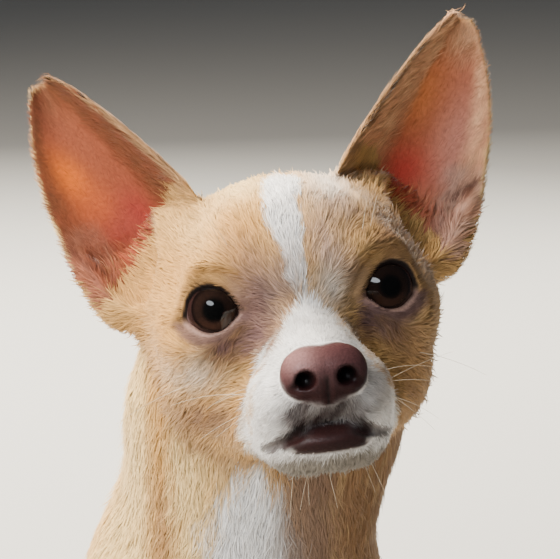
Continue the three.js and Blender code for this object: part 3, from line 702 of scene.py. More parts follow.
# Colours of the coat and skin. Most are as seen in even light, but the chin's shade, the nose's low colour,
# the nostrils and the ear's slit are painted shade, the nose's light colour is a painted highlight, the
# lower lids' pale colour is partly a painted highlight, and the ears' orange glows are painted light shining
# through the ears. The left ear has its own lighter colours, painted as that light too.
WHITE = linear((236, 234, 232))
CREAM = linear((240, 206, 142))
FAWN = linear((208, 163, 101))
TAN = linear((198, 145, 76))
GREIGE = linear((150, 126, 114))
PALE = linear((214, 198, 182))
CHIN_SHADE = linear((116, 106, 91))
BROWN = linear((148, 112, 82))
UMBER = linear((104, 74, 54))
MAUVE = linear((118, 90, 88))
EAR_SKIN = linear((146, 74, 50))
# Painted glow of light shining through the ears, in this colour and the next two.
EAR_GLOW = linear((222, 108, 16))
EAR_WARM_GLOW = linear((190, 90, 44))
EAR_AMBER_GLOW = linear((204, 116, 60))
EAR_PINK = linear((206, 138, 118))
EAR_RED = linear((152, 42, 42))
# The left ear's own colours here are lighter copies, painted as light shining through that ear.
EAR_LIT_RED = linear((192, 66, 54))
EAR_SHADE = linear((110, 70, 44))
EAR_FUZZ = linear((154, 98, 76))
EAR_LIT_FUZZ = linear((196, 156, 136))
EAR_ROSE = linear((156, 66, 54))
# Painted shade in the slit of the ear's pocket.
EAR_SLIT_SHADE = linear((92, 52, 40))
EAR_LIT_SKIN = linear((172, 94, 63))
EAR_LIT_HAIR = linear((244, 190, 142))
LIP = linear((51, 28, 27))
RIM = linear((30, 20, 18))
# Partly a painted highlight on the lower lids' wet edge.
LID_PALE_HIGHLIGHT = linear((156, 122, 108))
NOSE_SKIN = linear((73, 46, 47))
# Painted highlight of the nose.
NOSE_PAINTED_HIGHLIGHT = linear((158, 118, 116))
# Painted shade of the nose's underside and nostrils.
NOSE_UNDER_SHADE = linear((50, 24, 23))
# Painted shade deep in the nostrils.
NOSTRIL_SHADE = linear((14, 4, 4))

# The white markings of the face, seen from in front: heights, middles and half widths in the head's frame.
BLAZE_UP = [0, 3, 6.5, 11.3, 15.5, 19, 23, 28, 32, 36]
BLAZE_AT = [-1.2, -1.6, -2.4, -2.0, -2.2, -2.7, -2.8, -2.0, 0, 0]
BLAZE_HALF = [0.6, 0.8, 1.1, 1.5, 2.3, 3.5, 4.4, 4.9, 5.2, 5.4]
MUZZLE_UP = [-48, -42, -38, -34, -29, -24, -20, -16, -11.5, -8.3, -5, -2, 0, 3]
MUZZLE_HALF = [12, 17.5, 20, 21.4, 20.6, 18.8, 16.6, 13.8, 11.2, 9.2, 7.3, 4.8, 3.2, 0.5]


def mixed(base, colour, share):
    return base + (colour - base) * np.clip(share, 0, 1)[:, None]


def spot(q, x, z, wide, high):
    """A soft round patch of the face, seen from in front, 1 at its middle."""
    return np.exp(-(((q[:, 0] - x) / wide) ** 2) - ((q[:, 2] - z) / high) ** 2)


def painted(c, *coats):
    """The colours with further ones laid over them in turn, each by its share from 0 to 1."""
    for colour, share in coats:
        c = mixed(c, colour, share)
    return c


def head_patches(q, grain, front):
    """The fawn of the head with its soft patches, painted shade under the right cheek and on the left side,
    and the wet streaks below the eyes.
    """
    x, y, z = q.T
    between = spot(q, -11, 5, 7.5, 8) + spot(q, 14.5, 4.5, 3.6, 7) * 0.4
    brow = spot(q, 14, 23, 5, 4) + spot(q, 27, 16, 8, 7) * 0.7 + spot(q, 5, 20, 3, 8) * 0.6
    brow_tint = mixed(GREIGE[None] * 1.6, BROWN, ramp(16, 26, x))
    grey = 0.95 * spot(q, -11, 1, 6, 9) + 0.85 * spot(q, -3.3, 7, 4.5, 7) + 0.35 * spot(q, 14.5, 5, 4, 6)
    tears = 1.15 * spot(q, -19.5, -9.5, 9, 4.6) + spot(q, -13.5, -4, 3.2, 5.5)
    tears += 0.8 * spot(q, 17, -4, 3.2, 5) + spot(q, 20, -9, 7, 4)
    return painted(
        np.tile(FAWN, (len(q), 1)),
        (CREAM, 0.2 * ramp(4, 26, z) * ramp(34, 12, np.abs(x)) * (0.6 + 0.4 * grain)),
        (CREAM, 0.35 * spot(q, -23, 20, 7, 6) + 0.8 * spot(q, -11, 32, 8, 5)),
        (WHITE, 0.6 * spot(q, 12, 29, 7, 5)),
        (PALE * 1.15, 0.95 * spot(q, -31, -16, 7, 5)),
        (CREAM, 0.15 * spot(q, -33, -13, 9, 9) + 0.3 * spot(q, 33, -14, 9, 9)),
        (TAN, 0.8 * front * spot(q, -15, 21, 8, 9) + 0.8 * spot(q, -39, -8, 8, 13)),
        (TAN, 0.6 * spot(q, -34, 9, 12, 13)),
        # Painted shadow under the right cheek: the second brown patch here and the umber one below.
        (BROWN, front * (0.85 * spot(q, -15, 14, 7, 7)) + 0.95 * spot(q, -29, -29, 10, 6)),
        (UMBER, 0.35 * spot(q, -30, -28, 8, 5)),
        (TAN, 0.45 * spot(q, -20, 12, 8, 5) + 0.4 * spot(q, 30, -22, 9, 8)),
        (TAN, 0.35 * ramp(-0.1, 0.6, grain) * front),
        (BROWN, front * between * (0.55 + 0.4 * grain)),
        (brow_tint, front * brow * (0.6 + 0.3 * grain)),
        (GREIGE * 2.3, front * 0.85 * spot(q, 8.5, 13, 4.5, 8) * (0.8 + 0.3 * grain)),
        (GREIGE, front * np.clip(grey, 0, 0.95) * (0.85 + 0.15 * grain)),
        # Painted shade on the head's left side.
        (BROWN, 0.72 * ramp(14, 27, x) * ramp(36, 16, y) * ramp(30, 14, z) * (0.8 + 0.2 * grain)),
        (UMBER, 0.7 * spot(q, 24, -11, 6, 8) * front),
        (MAUVE, front * tears * (0.75 + 0.25 * grain)),
        (MAUVE, front * 0.85 * spot(q, -13, 1, 5.5, 10)),
        (UMBER, front * 0.3 * spot(q, -14, -1, 3.5, 5)),
        (PALE * 1.2, front * 0.95 * spot(q, 7.5, 3, 4.2, 6)),
        (GREIGE, front * 0.4 * spot(q, 14, 6, 3, 4.5)),
    )


def eye_rims(c, q, front):
    """The dark rims of the upper lids, the paler ones of the lower, partly a painted highlight on their wet
    edge, and the shades round them.
    """
    x, y, z = q.T
    lids = lid_angle(q)
    sight = ramp(16, 1, y) * front
    above = ramp(-1.5, 1.5, z - EYE_AT[2] + 0.25 * np.abs(x - EYE_AT[0] * np.sign(x)))
    return painted(
        c,
        (MAUVE, sight * (1 - above) * 0.85 * ramp(1.75, 1.25, lids)),
        (UMBER, sight * above * 0.5 * ramp(1.35, 1.12, lids)),
        (RIM, sight * above * ramp(1.18, 1.07, lids)),
        # Partly a painted highlight: the paler wet edge of the lower lids.
        (LID_PALE_HIGHLIGHT, sight * (1 - above) * ramp(1.13, 1.07, lids)),
        (RIM, sight * ramp(1.05, 1.0, lids)),
    )


def white_marks(c, q, grain, front):
    """The blaze of the forehead and the white muzzle, with grey patches on them and painted shade on the
    muzzle's left side and under the chin.
    """
    x, y, z = q.T
    middle, half = np.interp(z, BLAZE_UP, BLAZE_AT), np.interp(z, BLAZE_UP, BLAZE_HALF)
    blaze = np.abs(x - middle) - half * ramp(30, 8, y) + 0.9 * grain
    half = np.interp(z, MUZZLE_UP, MUZZLE_HALF) + np.where(x < 0, 3.6 * bell(z, -17, 7), 0)
    edge = np.maximum(np.abs(x - 0.4) - half, (y + 8.5) * 0.8) + 1.4 * grain
    return painted(
        c,
        (WHITE, ramp(0.9, -0.9, blaze) * ramp(-1, 9, z) * ramp(34, 12, y)),
        (WHITE, ramp(1.4, -1.4, edge)),
        (CREAM, 0.5 * ramp(-14, -6, y) * ramp(-24, -34, z) * ramp(1.4, -1.4, edge)),
        (GREIGE, 0.25 * ramp(0, 0.9, waves(q, 2.4, 19)) * ramp(1, -2, edge) * ramp(-16, -26, z)),
        (GREIGE, 0.5 * spot(q, -2.6, 11, 3, 6) * front),
        # Painted shade on the muzzle's left side.
        (GREIGE, 0.4 * spot(q, 16, -21, 6, 7) * ramp(-14, -22, y)),
        (CHIN_SHADE, 0.9 * ramp(-37, -40.5, z + 0.7 * grain) * ramp(0, -12, y)),
    )


def lip_share(q):
    """Where the lower lip is bare."""
    return ramp(0.9, -0.3, lower_lip(q)) * ramp(-38.2, -36.4, q[:, 2]) * ramp(-26, -29, q[:, 1])


def mouth_colours(c, q, grain):
    """The dark lips, their edges along the mouth's line, darker skin below the nose with painted shadow of
    the nose, and the groove below it painted dark as shade.
    """
    x, y, z = q.T
    line = mouth_line(q)
    # Darker skin and hair below the nose, with painted shadow cast by the nose.
    dark_skin_and_nose_shadow = np.clip(2.8 * spot(q, -1, -27, 9.5, 4.6) + 0.9 * spot(q, 0, -24.5, 4, 3.5), 0, 1)
    dark_edge = np.where(x < 0, ramp(16, 11.5, -x), ramp(12, 9, x)) * (0.8 + 0.3 * grain)
    return painted(
        c,
        (LIP, lip_share(q) * ramp(12, 9, np.abs(x) + 0.8 * grain)),
        (LIP, 0.96 * dark_skin_and_nose_shadow * ramp(-24, -30, y) * (0.9 + 0.15 * grain) * ramp(-36, -34, z)),
        (RIM, dark_edge * ramp(2.2, 0.5, line) * ramp(-24, -28, y) * ramp(3, 6, np.abs(x))),
        (LIP, 0.75 * ramp(0.9, 0.3, line) * ramp(-20, -25, y)),
        # Painted shade in the groove below the nose.
        (RIM, 0.7 * ramp(0.7, 0.1, philtrum(q)) * ramp(-23, -25.5, z) * ramp(-30, -36, y)),
    )


def nose_colours(c, q):
    x, y, z = q.T
    bare = nose_distance(q)
    leather = painted(
        np.tile(NOSE_SKIN, (len(q), 1)),
        # Painted shade: the leather darker towards its underside.
        (NOSE_UNDER_SHADE, ramp(-14.5, -22, z)),
        # Painted highlight on the upper right of the nose.
        (NOSE_PAINTED_HIGHLIGHT, 0.65 * spot(q, -6.3, -11.2, 4.8, 4)),
        # Painted shade in the groove down the lower middle of the nose.
        (RIM, 0.8 * ramp(0.75, 0.15, np.abs(x)) * ramp(-14.5, -18, z) * ramp(-30, -36, y)),
    )
    inside = ramp(0.9, 0.2, nostrils(q)) * ramp(1.5, 0.0, bare)
    deep = bell(np.abs(x), 5.7, 2.4) * bell(z, -17, 2.1)
    return painted(
        c,
        (leather, ramp(0.5, 0.0, bare)),
        # Painted shade inside the nostrils, darkest in their depth.
        (NOSE_UNDER_SHADE, 0.75 * inside),
        (NOSTRIL_SHADE, inside * np.clip(1.6 * deep, 0, 1)),
    )


def head_colours(q, grain):
    front = ramp(14, -4, q[:, 1])
    c = eye_rims(head_patches(q, grain, front), q, front)
    c = white_marks(c, q, grain, front)
    return nose_colours(mouth_colours(c, q, grain), q)


def hollow_share(q, e):
    """The bare skin of the ear's hollow below its sheet."""
    return ramp(2.2, 1.0, np.abs(ear_hollows(q))) * above_fur(q, e) * ramp(26, 18, e[:, 0])


def ear_colours(c, q, e, ear, inner, grain):
    across, _, up = e.T
    share = ear_share(e, 0.5)
    right = (q[:, 0] < 0) * 1.0
    left = 1 - right
    hair = 0.75 + 0.25 * grain

    # The right ear's colour or the left ear's lighter copy, which paints the light shining through the left
    # ear.
    def tint(on_right, on_left):
        return np.where(right[:, None] > 0, on_right, on_left)

    # The hair of the ear's edges and tip: brown on the right ear, a lighter copy on the left painted as
    # light shining through it.
    shade = tint(EAR_SHADE, EAR_LIT_HAIR)
    # Painted shade in the slit of the pocket at the ear's outer edge.
    along = up - 5.5 - 3 * left
    slit = bell(across, 17.2 + 0.45 * along, 0.9) * ramp(4.6, 3.2, np.abs(along))
    skin = painted(
        tint(EAR_SKIN, EAR_LIT_SKIN),
        # Painted glow of light shining through the ears: the orange, warm and amber patches.
        (EAR_GLOW, right * 0.95 * spot(e, 9.5, 28, 3.6, 8)),
        (EAR_WARM_GLOW, right * 0.8 * spot(e, 8, 17, 5, 8)),
        (EAR_PINK, left * 0.7 * spot(e, 11, 20, 6, 17)),
        (EAR_AMBER_GLOW, left * 0.75 * spot(e, -3, 31, 5, 10)),
        (tint(EAR_RED, EAR_LIT_RED), (1 - 0.25 * right) * spot(e, 0.5, 9, 7 - 1.5 * right, 8)),
        (EAR_ROSE, right * 0.8 * spot(e, 7, 8, 7, 6)),
        (shade, 0.85 * hair * ramp(-0.15, -0.6, share) + 0.75 * hair * ramp(0.58, 0.86, share)),
        (shade, 0.7 * ramp(38, 52, up) * hair),
        (tint(EAR_FUZZ, EAR_LIT_FUZZ), 0.85 * ramp(0.45, 0.62, share) * ramp(17, 11, up) * hair),
        (EAR_SLIT_SHADE, 0.85 * slit),
    )
    inner = np.maximum(inner, hollow_share(q, e) * (1 - ear))
    inner = inner * ramp(EAR_LONG - EAR_BLUNT - 0.5, EAR_LONG - EAR_BLUNT - 3, up)
    return painted(
        c,
        (FAWN, ear),
        (CREAM, ear * ramp(0.85, 1.0, share)),
        (BROWN, 0.85 * ear * ramp(-0.7, -0.9, share)),
        (BROWN, 0.6 * ear * ramp(46, 53, up) * ramp(0.9, 0.6, np.abs(share))),
        (skin, inner * ramp(0.97, 0.9, np.abs(share))),
    )


def across_neck(p):
    """Places across the neck, seen from where the head looks, in millimetres to the left of its middle."""
    return 0.951 * p[:, 0] - 0.309 * p[:, 1]


# The white chest: heights, middles and half widths.
CHEST_UP, CHEST_AT = [90, 150, 186, 207], [0, -2, -6.8, -9]
BIB_UP, BIB_HALF = [90, 120, 160, 186, 196, 204, 210, 215], [10, 18, 17, 13.5, 11, 7.5, 4.5, 1.5]


def body_colours(p, grain):
    x, y, z = p.T
    facing = ramp(-20, -60, y)
    spine = bell(x, 0, 24) * ramp(-30, 10, y) * ramp(20, 60, z)
    streak = 0.6 * waves(p * [1, 1, 0.2], 3.4, 15) + 0.4 * waves(p * [1, 1, 0.3], 1.8, 16)
    across = across_neck(p) + 1.5 * streak
    neck = ramp(150, 180, z) * ramp(12, -6, y - np.interp(z, [120, 200, 260], [5, -30, -45]))
    chest = np.abs(x - np.interp(z, CHEST_UP, CHEST_AT)) - np.interp(z, BIB_UP, BIB_HALF)
    chest += 2.2 * grain + 2 * streak
    toes = ramp(17, 9, z + 2 * grain) * np.maximum(ramp(-30, -40, y), ramp(16, 6, y))
    return painted(
        np.tile(FAWN, (len(p), 1)),
        (CREAM, 0.6 * ramp(120, 40, z) * ramp(50, 20, y) + 0.5 * ramp(40, 10, z)),
        (CREAM, 0.55 * ramp(0, 0.9, -x / 40) * ramp(165, 200, z)),
        (TAN, 0.35 * ramp(24, 38, x) * facing),
        (TAN, 0.85 * spine * (0.75 + 0.35 * grain)),
        (BROWN, 0.28 * spine * ramp(0, 0.8, grain + 0.3 * waves(p, 22, 13))),
        (CREAM, 0.5 * ramp(34, 46, np.abs(x)) * ramp(30, 50, y) * ramp(70, 40, z)),
        (CREAM, 0.35 * ramp(0.1, 0.9, waves(p, 48, 14)) * (1 - facing) * ramp(30, 50, z)),
        (TAN, 0.2 * ramp(0, 0.8, grain)),
        (CREAM, neck * 0.9 * ramp(-15.5, -19, across)),
        (CREAM, 0.85 * neck * bell(across, -5, 6) * ramp(226, 220, z)),
        (TAN, neck * 0.9 * bell(across, -13, 3.4)),
        (BROWN, neck * 0.6 * bell(across, -12.5, 3.4) * ramp(214, 200, z)),
        # Painted shadow under the jaw.
        (BROWN, neck * 0.6 * bell(across, -1, 9) * ramp(211, 222, z)),
        (GREIGE, neck * 0.4 * bell(across, 10, 6) * ramp(205, 212, z)),
        # Painted shade on the neck's left side, in this and the next colour.
        (BROWN, neck * 0.9 * ramp(22, 32, across)),
        (UMBER, neck * 0.35 * ramp(34, 46, across)),
        (CREAM, 0.25 * ramp(0, 0.9, streak)),
        (TAN, 0.2 * ramp(0, -0.9, streak)),
        (WHITE, ramp(3.5, -3.5, chest) * facing * ramp(218, 212, z + 1.5 * streak) * ramp(80, 100, z)),
        # Painted shadow over the left side of the white chest.
        (0.45 * GREIGE + 0.35 * BROWN, 0.85 * neck * ramp(15, 25, across) * ramp(42, 30, across)),
        (WHITE, 0.85 * toes),
    )


def colours_at(p):
    """The markings at points of the surface, with painted light and shade among them, the same for skin and
    coat.
    """
    q, e, head, ear, inner = regions(p)
    grain = 0.65 * waves(p, 5.5, 11) + 0.35 * waves(p, 2.2, 12)
    c = blend(body_colours(p, grain), head_colours(q, grain), head[:, None])
    # Painted shade in the crease where the head meets the neck, along the jaw.
    jaw_crease_shade = 1.8 * head * (1 - head) * ramp(40, 20, q[:, 1])
    c = mixed(c, BROWN, jaw_crease_shade)
    return np.clip(ear_colours(c, q, e, ear * head, inner * head, grain), 0, 1)


# Materials.
def new_material(name, roughness, **fixed):
    material = bpy.data.materials.new(name)
    material.use_nodes = True
    shader = material.node_tree.nodes["Principled BSDF"]
    shader.inputs["Roughness"].default_value = roughness
    for socket, value in fixed.items():
        shader.inputs[socket.replace("_", " ")].default_value = value
    return material, material.node_tree, shader


def add_node(tree, kind, links=(), **settings):
    node = tree.nodes.new(kind)
    for name, value in settings.items():
        if hasattr(node, name):
            setattr(node, name, value)
        else:
            node.inputs[name.replace("_", " ")].default_value = value
    for source, socket in links:
        tree.links.new(source, node.inputs[socket])
    return node


def speckled(tree, colour, scale, low, high):
    """The colour made unevenly darker and lighter at one scale."""
    place = add_node(tree, "ShaderNodeTexCoord").outputs["Object"]
    noise = add_node(tree, "ShaderNodeTexNoise", [(place, "Vector")], Scale=scale, Detail=3.0)
    span = {"From_Min": 0.3, "From_Max": 0.7, "To_Min": low, "To_Max": high}
    reach = add_node(tree, "ShaderNodeMapRange", [(noise.outputs["Fac"], "Value")], **span)
    factors = [(colour, 0), (reach.outputs[0], 1)]
    scaled = add_node(tree, "ShaderNodeVectorMath", factors, operation="MULTIPLY")
    return scaled.outputs[0], noise


def bumped(tree, shader, height, strength, distance):
    bump = add_node(tree, "ShaderNodeBump", [(height, "Height")], Strength=strength, Distance=distance)
    tree.links.new(bump.outputs["Normal"], shader.inputs["Normal"])


def attribute_colour(tree, name="coat_colour"):
    return add_node(tree, "ShaderNodeAttribute", attribute_name=name).outputs["Color"]


def marked_material(name, roughness, scale, low, high, **fixed):
    """A material that shows the markings, made unevenly darker and lighter at one scale."""
    material, tree, shader = new_material(name, roughness, **fixed)
    colour, noise = speckled(tree, attribute_colour(tree), scale, low, high)
    tree.links.new(colour, shader.inputs["Base Color"])
    return material, tree, shader, noise


def skin_material():
    material, tree, shader, noise = marked_material("skin", 0.62, 900, 0.86, 1.1, Specular_IOR_Level=0.3)
    bumped(tree, shader, noise.outputs["Fac"], 0.5, 0.0004)
    return material


def coat_material():
    sheen = {"Specular_IOR_Level": 0.25, "Sheen_Weight": 0.15, "Sheen_Roughness": 0.4}
    return marked_material("coat", 0.6, 420, 0.93, 1.07, **sheen)[0]


def wet_material(name, roughness, grain, depth):
    material, tree, shader, _ = marked_material(name, roughness, 1400, 0.82, 1.14, Specular_IOR_Level=0.35)
    place = add_node(tree, "ShaderNodeTexCoord").outputs["Object"]
    cells = add_node(tree, "ShaderNodeTexVoronoi", [(place, "Vector")], Scale=grain)
    bumped(tree, shader, cells.outputs["Distance"], 0.6, depth)
    return material


def plain_material(name, roughness, colour):
    material, _, shader = new_material(name, roughness)
    shader.inputs["Base Color"].default_value = (*colour, 1)
    return material


SKIN, COAT = skin_material(), coat_material()
LEATHER, LIDS = wet_material("leather", 0.42, 1900, 0.00012), wet_material("lids", 0.45, 2200, 0.0001)
points, quads = surface(skin_field, AXES, rough_skin)
skin_depth = coat_at(points.astype(np.float32))
points, normals = settled(dog, points, skin_depth)
points[:, 2] = np.maximum(points[:, 2], FLOOR_CLEAR)
skin = make_mesh("skin", points, quads, 4)
set_colours(skin, colours_at(points.astype(float)))
for material in (SKIN, LEATHER, LIDS):
    skin.data.materials.append(material)

# The nose's leather, and the moist edges of the lids and of the lower lip.
middles = to_head(points[quads].astype(float).mean(1))
on_nose = nose_distance(middles) < 0.4
on_lids = (lid_angle(middles) < 1.16) & (middles[:, 1] < 6)
on_lip = (np.abs(middles[:, 0]) < 13) & (lower_lip(middles) < 0.3)
on_lip &= (middles[:, 2] > -37.6) & (middles[:, 1] < -28)
looks = np.select([on_lids | on_lip, on_nose], [2, 1], 0)
skin.data.polygons.foreach_set("material_index", looks.astype(np.int32))
FLESH = [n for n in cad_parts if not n.startswith(("eye", "claw"))]
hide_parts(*FLESH)
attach(skin, "root")


# The coat: short tapered tufts that lie along the body, each a closed sliver with a ridge.
TUFTS = 205000
PIECE_TRIANGLES = 190000
SHORT, ROOT_DEEP = 4.0, 0.12
STRAYS, STRAY_LIFT = 0.08, 0.8


def tangent(v, n):
    v = v - (v * n).sum(1, keepdims=True) * n
    return v / np.linalg.norm(v, axis=1, keepdims=True).clip(1e-6)


def from_ear(ev, q):
    """Directions given in the ears' frames, in the head's frame."""
    out = np.empty_like(ev)
    for name, mask in (("left", q[:, 0] > 0), ("right", q[:, 0] <= 0)):
        out[mask] = ev[mask] @ EAR_FRAMES[name][0]
        if name == "right":
            out[mask, 0] *= -1
    return out


def on_tail(p):
    return (p[:, 1] > 98) & (p[:, 2] < 34)


NOSE_AT = np.array([0, -42, -13])
PAW_LIE = np.array([0, -1, -0.35])


def lie(p, parts):
    """Which way the hair lies: away from the nose, down and back on the body, along tail and ears."""
    q, e, head, ear, inner = parts
    v = q - NOSE_AT
    v /= np.linalg.norm(v, axis=1, keepdims=True)
    v[:, 2] -= 0.45 * ramp(-4, -22, q[:, 2]) * ramp(-20, 0, q[:, 1])
    share = ear_share(e)
    sideways = inner * (0.75 * ramp(-0.1, -0.8, share) + 0.5 * ramp(0.1, 0.8, share))
    sideways += (1 - inner) * share * (0.35 + 0.8 * ramp(44, 54, e[:, 2]))
    ev = np.stack([sideways, np.zeros(len(p)), np.ones(len(p))], 1)
    v = blend(v, from_ear(ev, q), ear[:, None]) @ HEAD_TURNED.T
    x, y, z = p.T
    b = np.stack([0.12 * np.sign(x), 0.12 + 0.5 * ramp(-20, 40, y), np.full(len(p), -0.9)], 1)
    b = blend(b, PAW_LIE, (ramp(24, 12, z) * (y < 84))[:, None])
    held = on_tail(p)
    link = ((p[held, None] - TAIL[None, :-1]) ** 2).sum(2).argmin(1)
    b[held] = np.diff(TAIL, axis=0)[link]
    b /= np.linalg.norm(b, axis=1, keepdims=True).clip(1e-6)
    return blend(b, v, head[:, None])


# Hair is given in rows of its length, the lift of its tips and its width.
def head_hair(q):
    _, y, z = q.T
    lids = ramp(2.6, 1.2, lid_angle(q)) * ramp(10, 2, y)
    cheek = ramp(-14, -26, z) * ramp(0, 14, y)
    chin = ramp(-36, -41, z) * ramp(0, -14, y)
    hair = np.array([[4.6], [1.25], [0.4]]) - np.outer([2.2, 0.7, 0.06], ramp(-6, -20, y))
    hair *= 1 - np.outer([0.5, 0.6, 0.2], lids)
    for more, share in (([2.6, 0.5, 0], cheek), ([2.2, 0.7, 0], chin), ([2, 0.5, 0], ramp(30, 50, y))):
        hair += np.outer(more, share)
    return hair


def ear_hair(e, inner):
    """The ear's hair, and how near to the fringe of its cup each point lies."""
    share, up = ear_share(e), e[:, 2]
    fringe = np.maximum(ramp(-0.2, -0.62, share), ramp(0.72 - 0.27 * ramp(18, 12, up), 0.95, share))
    fringe = np.maximum(fringe, 0.75 * ramp(38, 52, up))
    long = 3.2 + inner * (3.6 * ramp(-0.1, -0.7, share) - 0.8 * (1 - fringe)) - 0.9 * ramp(46, 53, up)
    lift = 0.4 + inner * (0.45 * fringe - 0.15 * (1 - fringe)) + 0.25 * ramp(47, 53, up)
    return np.stack([long, lift, 0.3 - 0.06 * inner]), fringe


def body_hair(p):
    _, y, z = p.T
    low_part = ramp(130, 60, z)
    foot = ramp(40, 16, z) * (y < 90)
    long = (8.0 - 2.8 * low_part * ramp(20, -10, y)) * (1 - 0.55 * foot)
    lift = (1.0 - 0.25 * low_part) * (1 - 0.5 * foot)
    lift += 1.1 * ramp(-17, -23, across_neck(p)) * ramp(180, 200, z)
    return np.stack([long, lift, 0.38 + 0.28 * ramp(185, 150, z) - 0.16 * foot])


def cover(p, parts):
    """How the coat grows at each point: length, lift of the tips, width and how much of it there is."""
    q, e, head, ear, inner = parts
    x, y, _ = q.T
    on_ear, fringe = ear_hair(e, inner)
    long, lift, wide = blend(body_hair(p), blend(head_hair(q), on_ear, ear), head)
    much = 1.0 - 0.9 * np.maximum(inner, hollow_share(q, e)) * (1 - fringe)
    much *= 1 + 0.5 * head * ramp(20, 0, y) + 0.35 * ramp(180, 200, p[:, 2])
    haired = ramp(0.2, 1.0, nose_distance(q)) * np.where(lid_angle(q) < 1.13, 1 - ramp(8, 2, y), 1)
    haired *= 1 - lip_share(q) * ramp(14, 11, np.abs(x))
    haired *= 1 - ramp(0.5, 0, mouth_line(q)) * ramp(-20, -24, y)
    haired = np.where(head > 0.5, haired, 1) * ramp(0.4, 1.5, p[:, 2])
    return long, lift, wide, much * haired / (long * wide)


def sample_roots(count, rng):
    corners = points[quads].astype(float)
    centre = corners.mean(1)
    area = 0.5 * np.linalg.norm(
        np.cross(corners[:, 2] - corners[:, 0], corners[:, 3] - corners[:, 1]), axis=1
    )
    parts = regions(centre)
    weight = area * cover(centre, parts)[3]
    ends = np.cumsum(weight)
    marks = (np.arange(count) + rng.uniform(0, 1, count)) / count * ends[-1]
    chosen = np.searchsorted(ends, marks).clip(0, len(quads) - 1)
    u, v = rng.uniform(0, 1, (2, count, 1))
    c, n = corners[chosen], normals[quads[chosen]].astype(float)
    shares = ((1 - u) * (1 - v), u * (1 - v), u * v, (1 - u) * v)
    p = sum(c[:, k] * share for k, share in enumerate(shares))
    n = sum(n[:, k] * share for k, share in enumerate(shares))
    return p, n / np.linalg.norm(n, axis=1, keepdims=True).clip(1e-6)


def lifted(p, level, most=2.0):
    """Points moved along the slope of the body to a given level, with the slope's direction there."""
    f, g = slope_of(dog, p)
    size = np.linalg.norm(g, axis=1, keepdims=True).clip(0.3)
    return p - np.clip((f - level)[:, None] / size, -most, most) * g / size, g / size


def turned(v, n, angle):
    return v * np.cos(angle)[:, None] + np.cross(n, v) * np.sin(angle)[:, None]


# How light a tuft is at each of its corners, from the root to the tip, on the body and on the head.
BODY_TONES = np.array([0.9, 0.9, 0.93, 0.98, 0.98, 1.0, 1.04])
HEAD_TONES = np.array([0.66, 0.66, 0.74, 0.95, 0.95, 1.0, 1.06])


def tuft_colours(p, parts, middle, v, side, rng):
    """Each tuft takes the colour of a place near it, which frays the markings, save on ears and lids."""
    q, _, head, ear, _ = parts
    strayed = middle + v * rng.normal(0, 1, (len(p), 1)) * (1.8 - 1.2 * head[:, None])
    strayed += side * rng.normal(0, 0.35, (len(p), 1))
    held = (ear > 0.02) | ((lid_angle(q) < 1.6) & (q[:, 1] < 10))
    base = colours_at(np.where(held[:, None], p, strayed))
    tone = 1 + 0.07 * waves(p, 2.5, 31) + rng.normal(0, 1, len(p)) * (0.05 + 0.06 * head)
    steps = blend(BODY_TONES[None], HEAD_TONES[None], head[:, None])
    return np.clip(base[:, None] * steps[:, :, None] * tone[:, None, None], 0, 1)


def grow_coat():
    """The tufts' roots, the parts they stand on, which are short, their corners, normals and colours."""
    rng = np.random.RandomState(5)
    p, n = sample_roots(TUFTS, rng)
    parts = regions(p)
    long, lift, wide, _ = cover(p, parts)
    depth = coat_depth(p, parts)
    v = tangent(lie(p, parts), n)
    v = turned(v, n, 0.22 * waves(p, 9, 21) + 0.16 * waves(p, 3.6, 22) + rng.normal(0, 0.12, len(p)))
    long = long * rng.uniform(0.7, 1.25, len(p))
    lift = lift * (0.75 + 0.2 * waves(p, 4, 23) + rng.uniform(-0.2, 0.3, len(p))).clip(0.3, 1.5)
    lift = lift * np.where(rng.uniform(0, 1, len(p)) < STRAYS, 1 + STRAY_LIFT * (1 - parts[3]), 1)
    middle, n1 = lifted(p + v * long[:, None] * 0.5, -depth + lift * 0.62)
    v1 = turned(tangent(v, n1), n1, 0.18 * waves(p, 5, 24) + rng.normal(0, 0.08, len(p)))
    tip, n2 = lifted(middle + v1 * long[:, None] * 0.5, -depth + lift)
    for places in (tip, middle):
        places[:, 2] = np.maximum(places[:, 2], TUFT_CLEAR)
    side, side1 = np.cross(n, v), np.cross(n1, v1)
    w, high = wide[:, None] * 0.5, wide[:, None] * 0.45
    root = p - n * ROOT_DEEP
    low_ring = [root - side * w, root + side * w, root + n * high]
    high_ring = [middle - side1 * w * 0.85, middle + side1 * w * 0.85, middle + n1 * high * 0.7]
    verts = np.stack([*low_ring, *high_ring, tip], 1)
    across = np.stack([-side, side, n, -side1, side1, n1, v1], 1)
    shade = np.stack([n, n, n, n1, n1, n1, n2], 1) + 0.35 * across
    shade /= np.linalg.norm(shade, axis=2, keepdims=True)
    return p, parts, long < SHORT, verts, shade, tuft_colours(p, parts, middle, v, side, rng)


# A long tuft has a ring at its middle, a short one goes straight from root to tip.
LONG_FACES = [0, 2, 1, 0, 1, 4, 0, 4, 3, 1, 2, 5, 1, 5, 4, 2, 0, 3, 2, 3, 5, 3, 4, 6, 4, 5, 6, 5, 3, 6]
LONG_FACES = np.array(LONG_FACES).reshape(-1, 3)
SHORT_FACES = np.array([[0, 2, 1], [0, 1, 3], [1, 2, 3], [2, 0, 3]])
SHORT_CORNERS = [0, 1, 2, 6]

# The places that part the coat into its pieces: heights and depths on the body, depths on the head.
NECK_FROM, CHEST_FROM, BACK_FROM, RUMP_HALF = 150, 78, 10, 34
FACE_FROM, MUZZLE_FROM = 14, -12

# Where the unwraps of the head and of the legs have their middles.
SKULL_MIDDLE = np.array([0, 12, -4])
FORE_MIDDLE, HIND_MIDDLE, HIND_FROM = np.array([[33], [-38]]), np.array([[46], [45]]), -4


